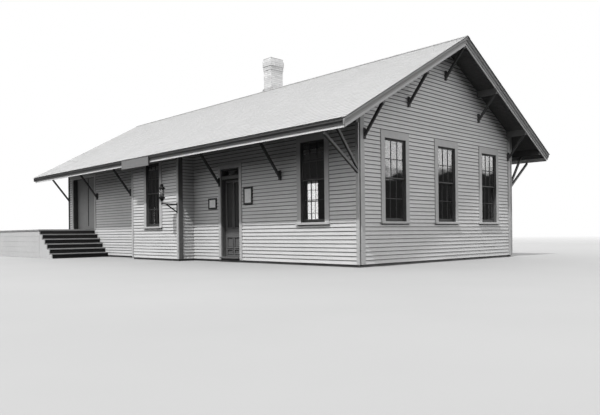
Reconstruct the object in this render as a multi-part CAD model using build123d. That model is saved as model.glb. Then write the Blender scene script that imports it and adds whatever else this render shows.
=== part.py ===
from build123d import *
import math
import os

# A small timber railway station, in millimetres.
# The frame stands at the middle of the building's plan, at ground level: +X runs along the ridge
# towards the passenger end, -Y faces the track and +Z points up.
# "Along" sizes are measured from the passenger-end wall towards the freight end, and "in" sizes from
# the front wall towards the back wall, both on the outside of the boarded frame.

# Main sizes of the building
LENGTH = 16680.0
WIDTH = 7570.0
WALL = 180.0
PITCH_DEG = 29.3
ROOF_OVER_WALL_Z = 4086.0
EAVE_OVERHANG = 1290.0
RAKE_OVERHANG = 750.0

# Roof layers, measured square to the slope
SHINGLES = 30.0
ROOF_DECK = 110.0
SHINGLE_LIP = 22.0

# Roof edge boards
FASCIA = 25.0
FASCIA_DEPTH = 230.0
RAKE_BOARD = 25.0
CROWN_PROJECTION = 58.0
CROWN_HEIGHT = 135.0
CROWN_FLAT = 16.0
CROWN_QUIRK = 9.0

# Ground works and floors
FOUNDATION_HEIGHT = 60.0
FOUNDATION_WIDTH = 300.0
FOUNDATION_INSET = 15.0
PASSENGER_FLOOR_TOP = 150.0
FREIGHT_FLOOR_TOP = 1100.0
FREIGHT_DECK = 50.0
FREIGHT_ROOM_LENGTH = 4880.0
BEARER = 140.0
BEARER_COUNT = 5

# Outside boards that stand proud of the boarded frame
TRIM_PROUD = 35.0
CORNER_BOARD_FRONT = 95.0
CORNER_BOARD_GABLE = 200.0
CORNER_GROOVE = 45.0

# Windows
WINDOW_WIDTH = 870.0
SILL_TOP = 1115.0
SILL_HEIGHT = 60.0
SILL_PROUD = 75.0
SILL_HORN = 25.0
WINDOW_HEAD = 3220.0
CASING_SIDE = 150.0
CASING_HEAD = 190.0
MEETING_RAIL_Z = 2220.0
SASH_STILE = 52.0
SASH_BOTTOM_RAIL = 85.0
SASH_MEETING_RAIL = 36.0
SASH_THICKNESS = 38.0
SASH_RECESS = 8.0
GLASS = 5.0
GABLE_WINDOW_FROM_MIDDLE = 2360.0
FRONT_WINDOW_ALONG = 1540.0
BACK_WINDOW_BAY = 2
BACK_WINDOW_BRACKET = 3
BACK_WINDOW_CLEAR = 75.0

# Square bay on the track side
BAY_START = 7000.0
BAY_END = 9930.0
BAY_DEPTH = 588.0
BAY_WALL = 150.0
BAY_CORNER_BOARD = 95.0
BAY_SIDE_BOARD = 150.0
BAY_WINDOW_ALONG = 8525.0
BAY_WINDOW_WIDTH = 850.0
BAY_HEADER_Z = 2900.0

# Passenger doorway
DOOR_START = 4602.0
DOOR_END = 5507.0
DOOR_HEIGHT_Z = 2495.0
TRANSOM_BAR = 100.0
TRANSOM_LIGHT = 215.0
DOOR_CASING = 118.0
DOOR_CASING_HEAD = 140.0
DOOR_JAMB = 28.0
DOOR_THRESHOLD_PROUD = 60.0
DOOR_THRESHOLD = 45.0
DOOR_RECESS = 125.0
DOOR_THICKNESS = 45.0
DOOR_GAP = 8.0
DOOR_STILE = 105.0
DOOR_MUNTIN = 90.0
DOOR_PANEL_RECESS = 14.0
DOOR_BOTTOM_RAIL = 95.0
DOOR_LOW_PANEL = 115.0
DOOR_RAIL = 60.0
DOOR_MIDDLE_PANEL = 310.0
DOOR_LOCK_RAIL = 285.0
DOOR_TOP_RAIL = 85.0
TRANSOM_STILE = 45.0
HINGE_PIN_RADIUS = 5.0
HINGE_CLEARANCE = 0.3
HINGE_HEIGHT = 90.0
HINGE_PLATE = 3.0
HINGE_FROM_END = 230.0
KNOB_RADIUS = 28.0
KNOB_NECK_RADIUS = 9.0
KNOB_NECK = 34.0
KNOB_ROSE_RADIUS = 24.0
KNOB_ROSE = 6.0

# Freight doorway and its sliding door, hung inside the wall
FREIGHT_DOOR_FROM_END = 440.0
FREIGHT_DOOR_WIDTH = 2060.0
FREIGHT_DOOR_HEAD_Z = 3250.0
FREIGHT_CASING = 120.0
FREIGHT_LEAF = 50.0
FREIGHT_LEAF_GAP = 8.0
FREIGHT_LEAF_LAP = 70.0
FREIGHT_LEAF_FLOOR_GAP = 12.0
FREIGHT_LEAF_STRIP = 60.0
FREIGHT_LEAF_STRIP_DEPTH = 20.0
FREIGHT_LEAF_RAIL = 130.0
RAIL_HEIGHT = 60.0
RAIL_THICKNESS = 12.0
RAIL_ABOVE_HEAD = 150.0
RAIL_STANDOFF = 20.0
RAIL_LENGTH = 4250.0
WHEEL_RADIUS = 55.0
WHEEL_THICKNESS = 22.0
WHEEL_GAP = 0.3
HANGER_WIDTH = 60.0
HANGER_THICKNESS = 8.0
HANGER_INSET = 300.0

# Roof supports outside the walls
LOOKOUT_WIDTH = 100.0
LOOKOUT_DEPTH = 165.0
LOOKOUT_PLATE_IN = 200.0
LOOKOUT_MIDDLE_IN = 2020.0
PURLIN_OUT = 760.0
PURLIN_WIDTH = 100.0
PURLIN_DEPTH = 190.0
STRUT = 62.0
STRUT_BLOCK_WIDTH = 80.0
STRUT_BLOCK_PROUD = 60.0
STRUT_BLOCK_HEIGHT = 270.0
GABLE_STRUT_DROP = 770.0
GABLE_STRUT_ABOVE_BLOCK_FOOT = 110.0
EAVE_BAYS = 6
EAVE_STRUT_FOOT_Z = 2400.0
EAVE_STRUT_ABOVE_BLOCK_FOOT = 110.0
CORNER_STRUT_FOOT_Z = 2300.0
CORNER_STRUT_TOP_Z = 3120.0

# Chimney
CHIMNEY_ALONG = 7630.0
CHIMNEY_BEHIND_RIDGE = 250.0
CHIMNEY_LENGTH = 410.0
CHIMNEY_WIDTH = 570.0
CHIMNEY_BAND_ABOVE_RIDGE = 660.0
CHIMNEY_BAND = 65.0
CHIMNEY_BAND_PROUD = 30.0
CHIMNEY_CAP_ABOVE_RIDGE = 825.0
CHIMNEY_CAP_STEP = 70.0
CHIMNEY_CAP_PROUD = 85.0
CHIMNEY_TOP_ABOVE_RIDGE = 1190.0
FLUE = 210.0
FLUE_DEPTH = 600.0

# Raised freight platform and its steps
PLATFORM_LAP = 2480.0
PLATFORM_BAYS = 4
PLATFORM_BAY = 1200.0
PLATFORM_DEPTH = 2250.0
PLATFORM_DECK = 60.0
PLATFORM_SKIRT = 28.0
PLATFORM_SKIRT_SETBACK = 22.0
PLATFORM_LEDGER = 40.0
PLATFORM_LEDGER_HEIGHT = 160.0
PLATFORM_WALL_GAP = 24.0
STEP_COUNT = 6
STEP_GOING = 228.0
STEP_TREAD = 40.0
STEP_RISER = 26.0
STEP_NOSING = 20.0
STEP_PANEL = 26.0

# Lamp on the bay's corner
LAMP_ARM_Z = 1800.0
LAMP_ARM_LENGTH = 545.0
LAMP_ARM_RADIUS = 14.0
LAMP_BRACE_DROP = 250.0
LAMP_BRACE_REACH = 400.0
LAMP_PLATE_WIDTH = 46.0
LAMP_PLATE_HEIGHT = 330.0
LAMP_PLATE = 8.0
LAMP_STEM = 85.0
LAMP_CUP_RADIUS = 60.0
LAMP_CUP_HEIGHT = 70.0
LANTERN_BASE_RADIUS = 98.0
LANTERN_BASE_HEIGHT = 60.0
LANTERN_GLASS_LOW_RADIUS = 94.0
LANTERN_GLASS_HIGH_RADIUS = 108.0
LANTERN_GLASS_HEIGHT = 250.0
LANTERN_ROOF_RADIUS = 116.0
LANTERN_ROOF_HEIGHT = 90.0
LANTERN_VENT_RADIUS = 45.0
LANTERN_VENT_HEIGHT = 70.0

# Boards fixed to the outside
NOTICE_LEFT_ALONG = 5932.0
NOTICE_LEFT_WIDTH = 416.0
NOTICE_LEFT_Z = 1613.0
NOTICE_LEFT_HEIGHT = 340.0
NOTICE_RIGHT_ALONG = 4182.0
NOTICE_RIGHT_WIDTH = 396.0
NOTICE_RIGHT_Z = 1690.0
NOTICE_RIGHT_HEIGHT = 505.0
NOTICE_FRAME = 48.0
NOTICE_THICKNESS = 48.0
NOTICE_RECESS = 14.0
EAVE_BOARD_ALONG = 8500.0
EAVE_BOARD_LENGTH = 1760.0
EAVE_BOARD_HEIGHT = 285.0
EAVE_BOARD_THICKNESS = 22.0

# How far blocks that are cut by the roof run past it, and how far a cut runs past the face it opens
FAR = 3000.0
CUT = 1.0

# Sizes worked out from the ones above
HALF_LENGTH = LENGTH / 2
HALF_WIDTH = WIDTH / 2
SLOPE = math.tan(math.radians(PITCH_DEG))
COS_PITCH = math.cos(math.radians(PITCH_DEG))
RIDGE_Z = ROOF_OVER_WALL_Z + HALF_WIDTH * SLOPE
SHINGLE_RISE = SHINGLES / COS_PITCH
DECK_RISE = ROOF_DECK / COS_PITCH
DECK_TOP_Z = RIDGE_Z - SHINGLE_RISE
UNDERSIDE_Z = DECK_TOP_Z - DECK_RISE
EAVE_Y = HALF_WIDTH + EAVE_OVERHANG
RAKE_X = HALF_LENGTH + RAKE_OVERHANG
CROWN_Y = EAVE_Y - SHINGLE_LIP
CROWN_X = RAKE_X - SHINGLE_LIP
FASCIA_Y = CROWN_Y - CROWN_PROJECTION
RAKE_BOARD_X = CROWN_X - CROWN_PROJECTION
ROOF_END_Y = FASCIA_Y - FASCIA
ROOF_END_X = RAKE_BOARD_X - RAKE_BOARD
TRANSOM_TOP_Z = DOOR_HEIGHT_Z + TRANSOM_BAR + TRANSOM_LIGHT
FREIGHT_FLOOR_EDGE = LENGTH - FREIGHT_ROOM_LENGTH
FREIGHT_DOOR_END = LENGTH - FREIGHT_DOOR_FROM_END
FREIGHT_DOOR_START = FREIGHT_DOOR_END - FREIGHT_DOOR_WIDTH
PLATFORM_START = LENGTH - PLATFORM_LAP
CHIMNEY_BAND_Z = RIDGE_Z + CHIMNEY_BAND_ABOVE_RIDGE
CHIMNEY_CAP_Z = RIDGE_Z + CHIMNEY_CAP_ABOVE_RIDGE
CHIMNEY_TOP_Z = RIDGE_Z + CHIMNEY_TOP_ABOVE_RIDGE


def along(distance):
    """X of a point a distance along the building from the passenger-end wall."""
    return HALF_LENGTH - distance


def inward(distance):
    """Y of a point a distance in from the front wall."""
    return distance - HALF_WIDTH


def roof_z(y, apex_z):
    """Height over y of a roof plane that has its apex over the ridge at apex_z."""
    return apex_z - abs(y) * SLOPE


def block(x_range, y_range, z_range):
    """A box between two values on each axis."""
    (x0, x1), (y0, y1), (z0, z1) = sorted(x_range), sorted(y_range), sorted(z_range)
    middle = Pos((x0 + x1) / 2, (y0 + y1) / 2, (z0 + z1) / 2)
    return middle * Box(x1 - x0, y1 - y0, z1 - z0)


def prism_along_x(points, x_range):
    """A prism whose section is a list of (y, z) points."""
    x0, x1 = sorted(x_range)
    face = make_face(Polyline(*points, close=True))
    return Pos(x0, 0, 0) * extrude(Plane.YZ * face, amount=x1 - x0)


def prism_along_y(points, y_range):
    """A prism whose section is a list of (x, z) points."""
    y0, y1 = sorted(y_range)
    face = make_face(Polyline(*points, close=True))
    return Pos(0, y1, 0) * extrude(Plane.XZ * face, amount=y1 - y0)


def slope_layer(apex_top_z, apex_bottom_z, end_y, end_x, side):
    """One slope of a roof layer, between two parallel planes, cut plumb at the ridge and the eave."""
    section = [
        (0, apex_top_z),
        (side * end_y, roof_z(end_y, apex_top_z)),
        (side * end_y, roof_z(end_y, apex_bottom_z)),
        (0, apex_bottom_z),
    ]
    return prism_along_x(section, (-end_x, end_x))


def under_roof(solid):
    """What is left of a solid below the roof's underside."""
    low_z = roof_z(EAVE_Y + FAR, UNDERSIDE_Z)
    section = [
        (0, UNDERSIDE_Z),
        (EAVE_Y + FAR, low_z),
        (EAVE_Y + FAR, UNDERSIDE_Z + FAR),
        (-EAVE_Y - FAR, UNDERSIDE_Z + FAR),
        (-EAVE_Y - FAR, low_z),
    ]
    return solid - prism_along_x(section, (-RAKE_X - FAR, RAKE_X + FAR))


def scribed(solid, neighbours):
    """A solid cut away where its neighbours already are."""
    for neighbour in neighbours:
        solid -= neighbour
    return solid


def mirrored_in_y(solids):
    """The same solids on the other side of the ridge."""
    return [mirror(solid, about=Plane.XZ) for solid in solids]


def mirrored_in_x(solids):
    """The same solids at the other end of the building."""
    return [mirror(solid, about=Plane.YZ) for solid in solids]


def both_gables(solids):
    """Solids of the passenger end and their copies at the freight end."""
    return solids + mirrored_in_x(solids)


# The four outside wall faces that carry windows: each maps a distance along the face, a distance out
# of the face and a height to a block.
def front_block(along_range, out_range, z_range):
    """A block on the front wall, with "out" measured towards the track."""
    xs = [along(value) for value in along_range]
    ys = [-HALF_WIDTH - value for value in out_range]
    return block(xs, ys, z_range)


def back_block(along_range, out_range, z_range):
    """A block on the back wall."""
    xs = [along(value) for value in along_range]
    ys = [HALF_WIDTH + value for value in out_range]
    return block(xs, ys, z_range)


def near_block(middle_range, out_range, z_range):
    """A block on the passenger-end wall, placed by its distance from the wall's middle."""
    xs = [HALF_LENGTH + value for value in out_range]
    return block(xs, middle_range, z_range)


def bay_block(along_range, out_range, z_range):
    """A block on the front of the bay."""
    return front_block(along_range, [BAY_DEPTH + value for value in out_range], z_range)


def span(middle, width):
    """The two ends of a width about its middle."""
    return (middle - width / 2, middle + width / 2)


def window_hole(face_block, middle, width, wall):
    """The hole that a window needs through its wall."""
    return face_block(span(middle, width), (-wall - CUT, CUT), (SILL_TOP, WINDOW_HEAD))


def window_casing(face_block, middle, width):
    """Side casings, head casing and sill round one window, as one frame."""
    outer = span(middle, width + 2 * CASING_SIDE)
    frame = face_block(outer, (0, TRIM_PROUD), (SILL_TOP, WINDOW_HEAD + CASING_HEAD))
    frame -= face_block(span(middle, width), (-CUT, TRIM_PROUD + CUT), (SILL_TOP - CUT, WINDOW_HEAD))
    sill_span = span(middle, width + 2 * CASING_SIDE + 2 * SILL_HORN)
    sill = face_block(sill_span, (0, SILL_PROUD), (SILL_TOP - SILL_HEIGHT, SILL_TOP))
    return frame + sill


def sash(face_block, middle, width, z_range, recess, rails):
    """One sash frame: two stiles, and rails of the two given heights, bottom first."""
    z0, z1 = z_range
    low_rail, high_rail = rails
    depth = (-recess - SASH_THICKNESS, -recess)
    frame = face_block(span(middle, width), depth, z_range)
    hole_depth = (-recess - SASH_THICKNESS - CUT, -recess + CUT)
    hole = face_block(span(middle, width - 2 * SASH_STILE), hole_depth, (z0 + low_rail, z1 - high_rail))
    return frame - hole


def pane(face_block, middle, width, z_range, recess, rails):
    """The sheet of glass that fills one sash."""
    z0, z1 = z_range
    low_rail, high_rail = rails
    back = recess + SASH_THICKNESS / 2
    glass_depth = (-back - GLASS / 2, -back + GLASS / 2)
    return face_block(span(middle, width - 2 * SASH_STILE), glass_depth, (z0 + low_rail, z1 - high_rail))


def window_sash_sizes():
    """Height range, recess and rail heights of the upper and the lower sash."""
    half_rail = SASH_MEETING_RAIL / 2
    upper = ((MEETING_RAIL_Z - half_rail, WINDOW_HEAD), SASH_RECESS, (SASH_MEETING_RAIL, SASH_STILE))
    lower_recess = SASH_RECESS + SASH_THICKNESS
    lower = ((SILL_TOP, MEETING_RAIL_Z + half_rail), lower_recess, (SASH_BOTTOM_RAIL, SASH_MEETING_RAIL))
    return upper, lower


def window_sashes(face_block, middle, width):
    """The upper and lower sash of one window, joined where their meeting rails lie together."""
    upper, lower = window_sash_sizes()
    return sash(face_block, middle, width, *upper) + sash(face_block, middle, width, *lower)


def window_glass(face_block, middle, width):
    """The two sheets of glass of one window."""
    upper, lower = window_sash_sizes()
    return [pane(face_block, middle, width, *upper), pane(face_block, middle, width, *lower)]


def gable_windows():
    """Middles of the three windows in the passenger-end wall."""
    return (-GABLE_WINDOW_FROM_MIDDLE, 0.0, GABLE_WINDOW_FROM_MIDDLE)


def bracket_pitch():
    """Distance between the eave brackets, which divide the building into equal bays."""
    return LENGTH / EAVE_BAYS


def back_windows():
    """Distances along to the back windows: opposite the front one, midway in a bay, close beside a bracket."""
    midway = (BACK_WINDOW_BAY + 0.5) * bracket_pitch()
    bracket = BACK_WINDOW_BRACKET * bracket_pitch()
    beside = bracket + STRUT_BLOCK_WIDTH / 2 + BACK_WINDOW_CLEAR + CASING_SIDE + WINDOW_WIDTH / 2
    return [FRONT_WINDOW_ALONG, midway, beside]


def chimney_range():
    """Plan ranges of the chimney shaft on X and Y."""
    return span(along(CHIMNEY_ALONG), CHIMNEY_LENGTH), span(CHIMNEY_BEHIND_RIDGE, CHIMNEY_WIDTH)


def foundation():
    """Low footing round the walls and the bay, with one footing across the middle."""
    outer_x = HALF_LENGTH - FOUNDATION_INSET
    outer_y = HALF_WIDTH - FOUNDATION_INSET
    inner_x = outer_x - FOUNDATION_WIDTH
    inner_y = outer_y - FOUNDATION_WIDTH
    height = (0, FOUNDATION_HEIGHT)
    ring = block((-outer_x, outer_x), (-outer_y, outer_y), height)
    ring -= block((-inner_x, inner_x), (-inner_y, inner_y), (-CUT, FOUNDATION_HEIGHT + CUT))
    ring += block(span(0, FOUNDATION_WIDTH), (-inner_y, inner_y), height)
    bay_x = (along(BAY_START + FOUNDATION_INSET), along(BAY_END - FOUNDATION_INSET))
    ring += block(bay_x, (-outer_y - BAY_DEPTH, -outer_y), height)
    return [ring]


def passenger_floor():
    """Floor of the waiting room and the bay, round the foot of the chimney."""
    height = (FOUNDATION_HEIGHT, PASSENGER_FLOOR_TOP)
    inner_y = HALF_WIDTH - WALL
    x_range = (along(FREIGHT_FLOOR_EDGE), HALF_LENGTH - WALL)
    floor = block(x_range, (-inner_y, inner_y), height)
    bay_x = (along(BAY_START + BAY_WALL), along(BAY_END - BAY_WALL))
    floor += block(bay_x, (-HALF_WIDTH - BAY_DEPTH + BAY_WALL, -inner_y), height)
    hole_x, hole_y = chimney_range()
    return [floor - block(hole_x, hole_y, (0, PASSENGER_FLOOR_TOP + CUT))]


def freight_floor():
    """Raised floor of the freight room, level with its doorway."""
    inner_y = HALF_WIDTH - WALL
    x_range = (along(FREIGHT_FLOOR_EDGE), along(LENGTH - WALL))
    return [block(x_range, (-inner_y, inner_y), (FREIGHT_FLOOR_TOP - FREIGHT_DECK, FREIGHT_FLOOR_TOP))]


def freight_floor_bearers():
    """Boarded cross walls from the ground to the freight floor; the first one closes its open edge."""
    first = FREIGHT_FLOOR_EDGE
    last = LENGTH - FOUNDATION_WIDTH - FOUNDATION_INSET - BEARER
    pitch = (last - first) / (BEARER_COUNT - 1)
    inner_y = HALF_WIDTH - FOUNDATION_WIDTH - FOUNDATION_INSET
    bearers = []
    for index in range(BEARER_COUNT):
        start = first + index * pitch
        x_range = (along(start), along(start + BEARER))
        bearers.append(block(x_range, (-inner_y, inner_y), (0, FREIGHT_FLOOR_TOP - FREIGHT_DECK)))
    return bearers


def front_wall_part(start, end, z_range):
    """A stretch of the front wall between two distances along the building."""
    return under_roof(front_block((start, end), (-WALL, 0), z_range))


def wall_height():
    """From the footing to above the ridge, for walls that the roof then cuts."""
    return (FOUNDATION_HEIGHT, RIDGE_Z)


def front_wall_right():
    """Front wall from the passenger-end corner to the passenger door, with its window."""
    wall = front_wall_part(WALL, DOOR_START, wall_height())
    return [wall - window_hole(front_block, FRONT_WINDOW_ALONG, WINDOW_WIDTH, WALL)]


def front_wall_middle():
    """Front wall between the passenger door and the bay."""
    return [front_wall_part(DOOR_END, BAY_START, wall_height())]


def front_wall_left():
    """Front wall between the bay and the freight doorway."""
    return [front_wall_part(BAY_END, FREIGHT_DOOR_START, wall_height())]


def front_wall_end():
    """Front wall beyond the freight doorway."""
    return [front_wall_part(FREIGHT_DOOR_END, LENGTH - WALL, wall_height())]


def front_wall_headers():
    """Wall over the passenger door, over the way into the bay, and over and under the freight doorway."""
    return [
        front_wall_part(DOOR_START, DOOR_END, (TRANSOM_TOP_Z, RIDGE_Z)),
        front_wall_part(BAY_START + BAY_WALL, BAY_END - BAY_WALL, (BAY_HEADER_Z, RIDGE_Z)),
        front_wall_part(FREIGHT_DOOR_START, FREIGHT_DOOR_END, (FREIGHT_DOOR_HEAD_Z, RIDGE_Z)),
        front_wall_part(FREIGHT_DOOR_START, FREIGHT_DOOR_END, (FOUNDATION_HEIGHT, FREIGHT_FLOOR_TOP)),
    ]


def bay_front_wall():
    """Front of the bay, with its window."""
    wall = bay_block((BAY_START, BAY_END), (-BAY_WALL, 0), wall_height())
    return [under_roof(wall) - window_hole(bay_block, BAY_WINDOW_ALONG, BAY_WINDOW_WIDTH, BAY_WALL)]


def bay_side_walls():
    """The two sides of the bay, run back through the front wall's thickness."""
    out_range = (-WALL, BAY_DEPTH - BAY_WALL)
    sides = [
        front_block((BAY_START, BAY_START + BAY_WALL), out_range, wall_height()),
        front_block((BAY_END - BAY_WALL, BAY_END), out_range, wall_height()),
    ]
    return [under_roof(side) for side in sides]


def gable_wall():
    """Passenger-end wall up to the roof, with its three windows."""
    wall = under_roof(near_block((-HALF_WIDTH, HALF_WIDTH), (-WALL, 0), wall_height()))
    for middle in gable_windows():
        wall -= window_hole(near_block, middle, WINDOW_WIDTH, WALL)
    return [wall]


def back_wall():
    """Back wall with its row of windows."""
    wall = under_roof(back_block((WALL, LENGTH - WALL), (-WALL, 0), wall_height()))
    for middle in back_windows():
        wall -= window_hole(back_block, middle, WINDOW_WIDTH, WALL)
    return [wall]


def near_corner_boards():
    """Two boards at each corner of the passenger end, the front one over the arris, a groove between them."""
    height = (FOUNDATION_HEIGHT, RIDGE_Z)
    proud = (0, TRIM_PROUD)
    front = front_block((-TRIM_PROUD, CORNER_BOARD_FRONT - TRIM_PROUD), proud, height)
    gable_start = -HALF_WIDTH + CORNER_GROOVE
    gable = near_block((gable_start, -HALF_WIDTH + CORNER_BOARD_GABLE), proud, height)
    corner = [under_roof(front), under_roof(gable)]
    return corner + mirrored_in_y(corner)


def corner_boards():
    """The boards at the corners of both ends and of the bay."""
    height = (FOUNDATION_HEIGHT, RIDGE_Z)
    proud = (0, TRIM_PROUD)
    boards = both_gables(near_corner_boards())
    side_out = (BAY_DEPTH - BAY_SIDE_BOARD, BAY_DEPTH)
    start = BAY_START - TRIM_PROUD
    end = BAY_END + TRIM_PROUD
    bay = [
        bay_block((start, start + BAY_CORNER_BOARD), proud, height),
        bay_block((end - BAY_CORNER_BOARD, end), proud, height),
        front_block((start, BAY_START), side_out, height),
        front_block((BAY_END, end), side_out, height),
    ]
    return boards + [under_roof(board) for board in bay]


def gable_casings():
    """Casings and sills of the windows in both end walls."""
    return both_gables([window_casing(near_block, middle, WINDOW_WIDTH) for middle in gable_windows()])


def gable_sashes():
    """Sashes of the windows in both end walls."""
    return both_gables([window_sashes(near_block, middle, WINDOW_WIDTH) for middle in gable_windows()])


def gable_glass():
    """Glass of the windows in both end walls."""
    panes = []
    for middle in gable_windows():
        panes += window_glass(near_block, middle, WINDOW_WIDTH)
    return both_gables(panes)


def front_windows():
    """Face, middle and width of the windows in the front wall and the bay."""
    return (
        (front_block, FRONT_WINDOW_ALONG, WINDOW_WIDTH),
        (bay_block, BAY_WINDOW_ALONG, BAY_WINDOW_WIDTH),
    )


def front_casings():
    """Casings and sills of the front window and the bay window."""
    return [window_casing(*window) for window in front_windows()]


def front_sashes():
    """Sashes of the front window and the bay window."""
    return [window_sashes(*window) for window in front_windows()]


def front_glass():
    """Glass of the front window and the bay window."""
    return [glass for window in front_windows() for glass in window_glass(*window)]


def back_casings():
    """Casings and sills of the back windows."""
    return [window_casing(back_block, middle, WINDOW_WIDTH) for middle in back_windows()]


def back_sashes():
    """Sashes of the back windows."""
    return [window_sashes(back_block, middle, WINDOW_WIDTH) for middle in back_windows()]


def back_glass():
    """Glass of the back windows."""
    return [glass for middle in back_windows() for glass in window_glass(back_block, middle, WINDOW_WIDTH)]


def door_casing():
    """Casing round the passenger door, on the outside of the wall."""
    outer = (DOOR_START - DOOR_CASING, DOOR_END + DOOR_CASING)
    head_z = TRANSOM_TOP_Z + DOOR_CASING_HEAD
    frame = front_block(outer, (0, TRIM_PROUD), (FOUNDATION_HEIGHT, head_z))
    hole_z = (FOUNDATION_HEIGHT - CUT, TRANSOM_TOP_Z)
    return [frame - front_block((DOOR_START, DOOR_END), (-CUT, TRIM_PROUD + CUT), hole_z)]


def door_frame():
    """Jambs, head, transom bar and threshold that line the passenger doorway."""
    depth = (-WALL, 0)
    frame = front_block((DOOR_START, DOOR_END), depth, (PASSENGER_FLOOR_TOP, TRANSOM_TOP_Z))
    clear = (DOOR_START + DOOR_JAMB, DOOR_END - DOOR_JAMB)
    through = (-WALL - CUT, CUT)
    bar_top = DOOR_HEIGHT_Z + TRANSOM_BAR
    frame -= front_block(clear, through, (PASSENGER_FLOOR_TOP - CUT, DOOR_HEIGHT_Z))
    frame -= front_block(clear, through, (bar_top, TRANSOM_TOP_Z - DOOR_JAMB))
    threshold_z = (PASSENGER_FLOOR_TOP - DOOR_THRESHOLD, PASSENGER_FLOOR_TOP)
    out_range = (-WALL, TRIM_PROUD + DOOR_THRESHOLD_PROUD)
    threshold = front_block((DOOR_START, DOOR_END), out_range, threshold_z)
    under = front_block((DOOR_START, DOOR_END), depth, (FOUNDATION_HEIGHT, threshold_z[0]))
    return [frame + threshold + under]


def door_transom():
    """Fixed light over the passenger door: its sash and its glass fill the frame's upper opening."""
    clear = (DOOR_START + DOOR_JAMB, DOOR_END - DOOR_JAMB)
    z_range = (DOOR_HEIGHT_Z + TRANSOM_BAR, TRANSOM_TOP_Z - DOOR_JAMB)
    depth = (-DOOR_RECESS - SASH_THICKNESS, -DOOR_RECESS)
    light = front_block(clear, depth, z_range)
    inner = (clear[0] + TRANSOM_STILE, clear[1] - TRANSOM_STILE)
    inner_z = (z_range[0] + TRANSOM_STILE, z_range[1] - TRANSOM_STILE)
    rebate = (SASH_THICKNESS - GLASS) / 2
    light -= front_block(inner, (-DOOR_RECESS - rebate, -DOOR_RECESS + CUT), inner_z)
    light -= front_block(inner, (depth[0] - CUT, depth[0] + rebate), inner_z)
    return [light]


def door_leaf_span():
    """Ends of the passenger door leaf along the building."""
    return (DOOR_START + DOOR_JAMB + DOOR_GAP, DOOR_END - DOOR_JAMB - DOOR_GAP)


def passenger_door():
    """Panelled leaf: two tall panels over two rows of small ones, recessed on both faces."""
    start, end = door_leaf_span()
    bottom = PASSENGER_FLOOR_TOP + DOOR_GAP
    top = DOOR_HEIGHT_Z - DOOR_GAP
    face = -DOOR_RECESS
    leaf = front_block((start, end), (face - DOOR_THICKNESS, face), (bottom, top))
    middle = (start + end) / 2
    columns = (
        (start + DOOR_STILE, middle - DOOR_MUNTIN / 2),
        (middle + DOOR_MUNTIN / 2, end - DOOR_STILE),
    )
    low = bottom + DOOR_BOTTOM_RAIL
    centre = low + DOOR_LOW_PANEL + DOOR_RAIL
    high = centre + DOOR_MIDDLE_PANEL + DOOR_LOCK_RAIL
    rows = (
        (low, low + DOOR_LOW_PANEL),
        (centre, centre + DOOR_MIDDLE_PANEL),
        (high, top - DOOR_TOP_RAIL),
    )
    back = face - DOOR_THICKNESS
    for column in columns:
        for row in rows:
            leaf -= front_block(column, (face - DOOR_PANEL_RECESS, face + CUT), row)
            leaf -= front_block(column, (back - CUT, back + DOOR_PANEL_RECESS), row)
    return [leaf]


def door_hinges():
    """Three pins on plates, on the freight-end jamb's inner face, that the leaf turns on."""
    jamb_x = along(DOOR_END - DOOR_JAMB)
    wall_face = -HALF_WIDTH + WALL
    pin_x = jamb_x + HINGE_PIN_RADIUS + HINGE_CLEARANCE
    pin_y = -HALF_WIDTH + DOOR_RECESS + DOOR_THICKNESS + HINGE_PIN_RADIUS + HINGE_CLEARANCE
    low = PASSENGER_FLOOR_TOP + HINGE_FROM_END
    high = DOOR_HEIGHT_Z - HINGE_FROM_END
    hinges = []
    for middle_z in (low, (low + high) / 2, high):
        pin = Pos(pin_x, pin_y, middle_z) * Cylinder(HINGE_PIN_RADIUS, HINGE_HEIGHT)
        plate_z = span(middle_z, HINGE_HEIGHT)
        plate = block((jamb_x - DOOR_JAMB, pin_x), (wall_face, wall_face + HINGE_PLATE), plate_z)
        hinges.append(pin + plate)
    return hinges


def door_knob():
    """Turned knob on its rose, on the outside of the leaf."""
    start, _ = door_leaf_span()
    lock_rail_z = PASSENGER_FLOOR_TOP + DOOR_GAP + DOOR_BOTTOM_RAIL + DOOR_LOW_PANEL
    lock_rail_z += DOOR_RAIL + DOOR_MIDDLE_PANEL + DOOR_LOCK_RAIL / 2
    outline = make_face(
        Polyline(
            (0, 0),
            (KNOB_ROSE_RADIUS, 0),
            (KNOB_ROSE_RADIUS, KNOB_ROSE),
            (KNOB_NECK_RADIUS, KNOB_ROSE),
            (KNOB_NECK_RADIUS, KNOB_NECK),
            (KNOB_RADIUS, KNOB_NECK + KNOB_RADIUS / 2),
            (KNOB_RADIUS / 2, KNOB_NECK + KNOB_RADIUS),
            (0, KNOB_NECK + KNOB_RADIUS),
            close=True,
        )
    )
    knob = revolve(Plane.XZ * outline, axis=Axis.Z)
    place = Pos(along(start + DOOR_STILE / 2), -HALF_WIDTH + DOOR_RECESS, lock_rail_z)
    return [place * Rot(90, 0, 0) * knob]


def freight_door_casing():
    """Casing round the freight doorway, down to the platform."""
    outer = (FREIGHT_DOOR_START - FREIGHT_CASING, FREIGHT_DOOR_END + FREIGHT_CASING)
    frame = front_block(outer, (0, TRIM_PROUD), (FREIGHT_FLOOR_TOP, FREIGHT_DOOR_HEAD_Z + FREIGHT_CASING))
    hole_z = (FREIGHT_FLOOR_TOP - CUT, FREIGHT_DOOR_HEAD_Z)
    opening = (FREIGHT_DOOR_START, FREIGHT_DOOR_END)
    return [frame - front_block(opening, (-CUT, TRIM_PROUD + CUT), hole_z)]


def rail_z():
    """Height of the top of the sliding door's rail."""
    return FREIGHT_DOOR_HEAD_Z + RAIL_ABOVE_HEAD + RAIL_HEIGHT


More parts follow.
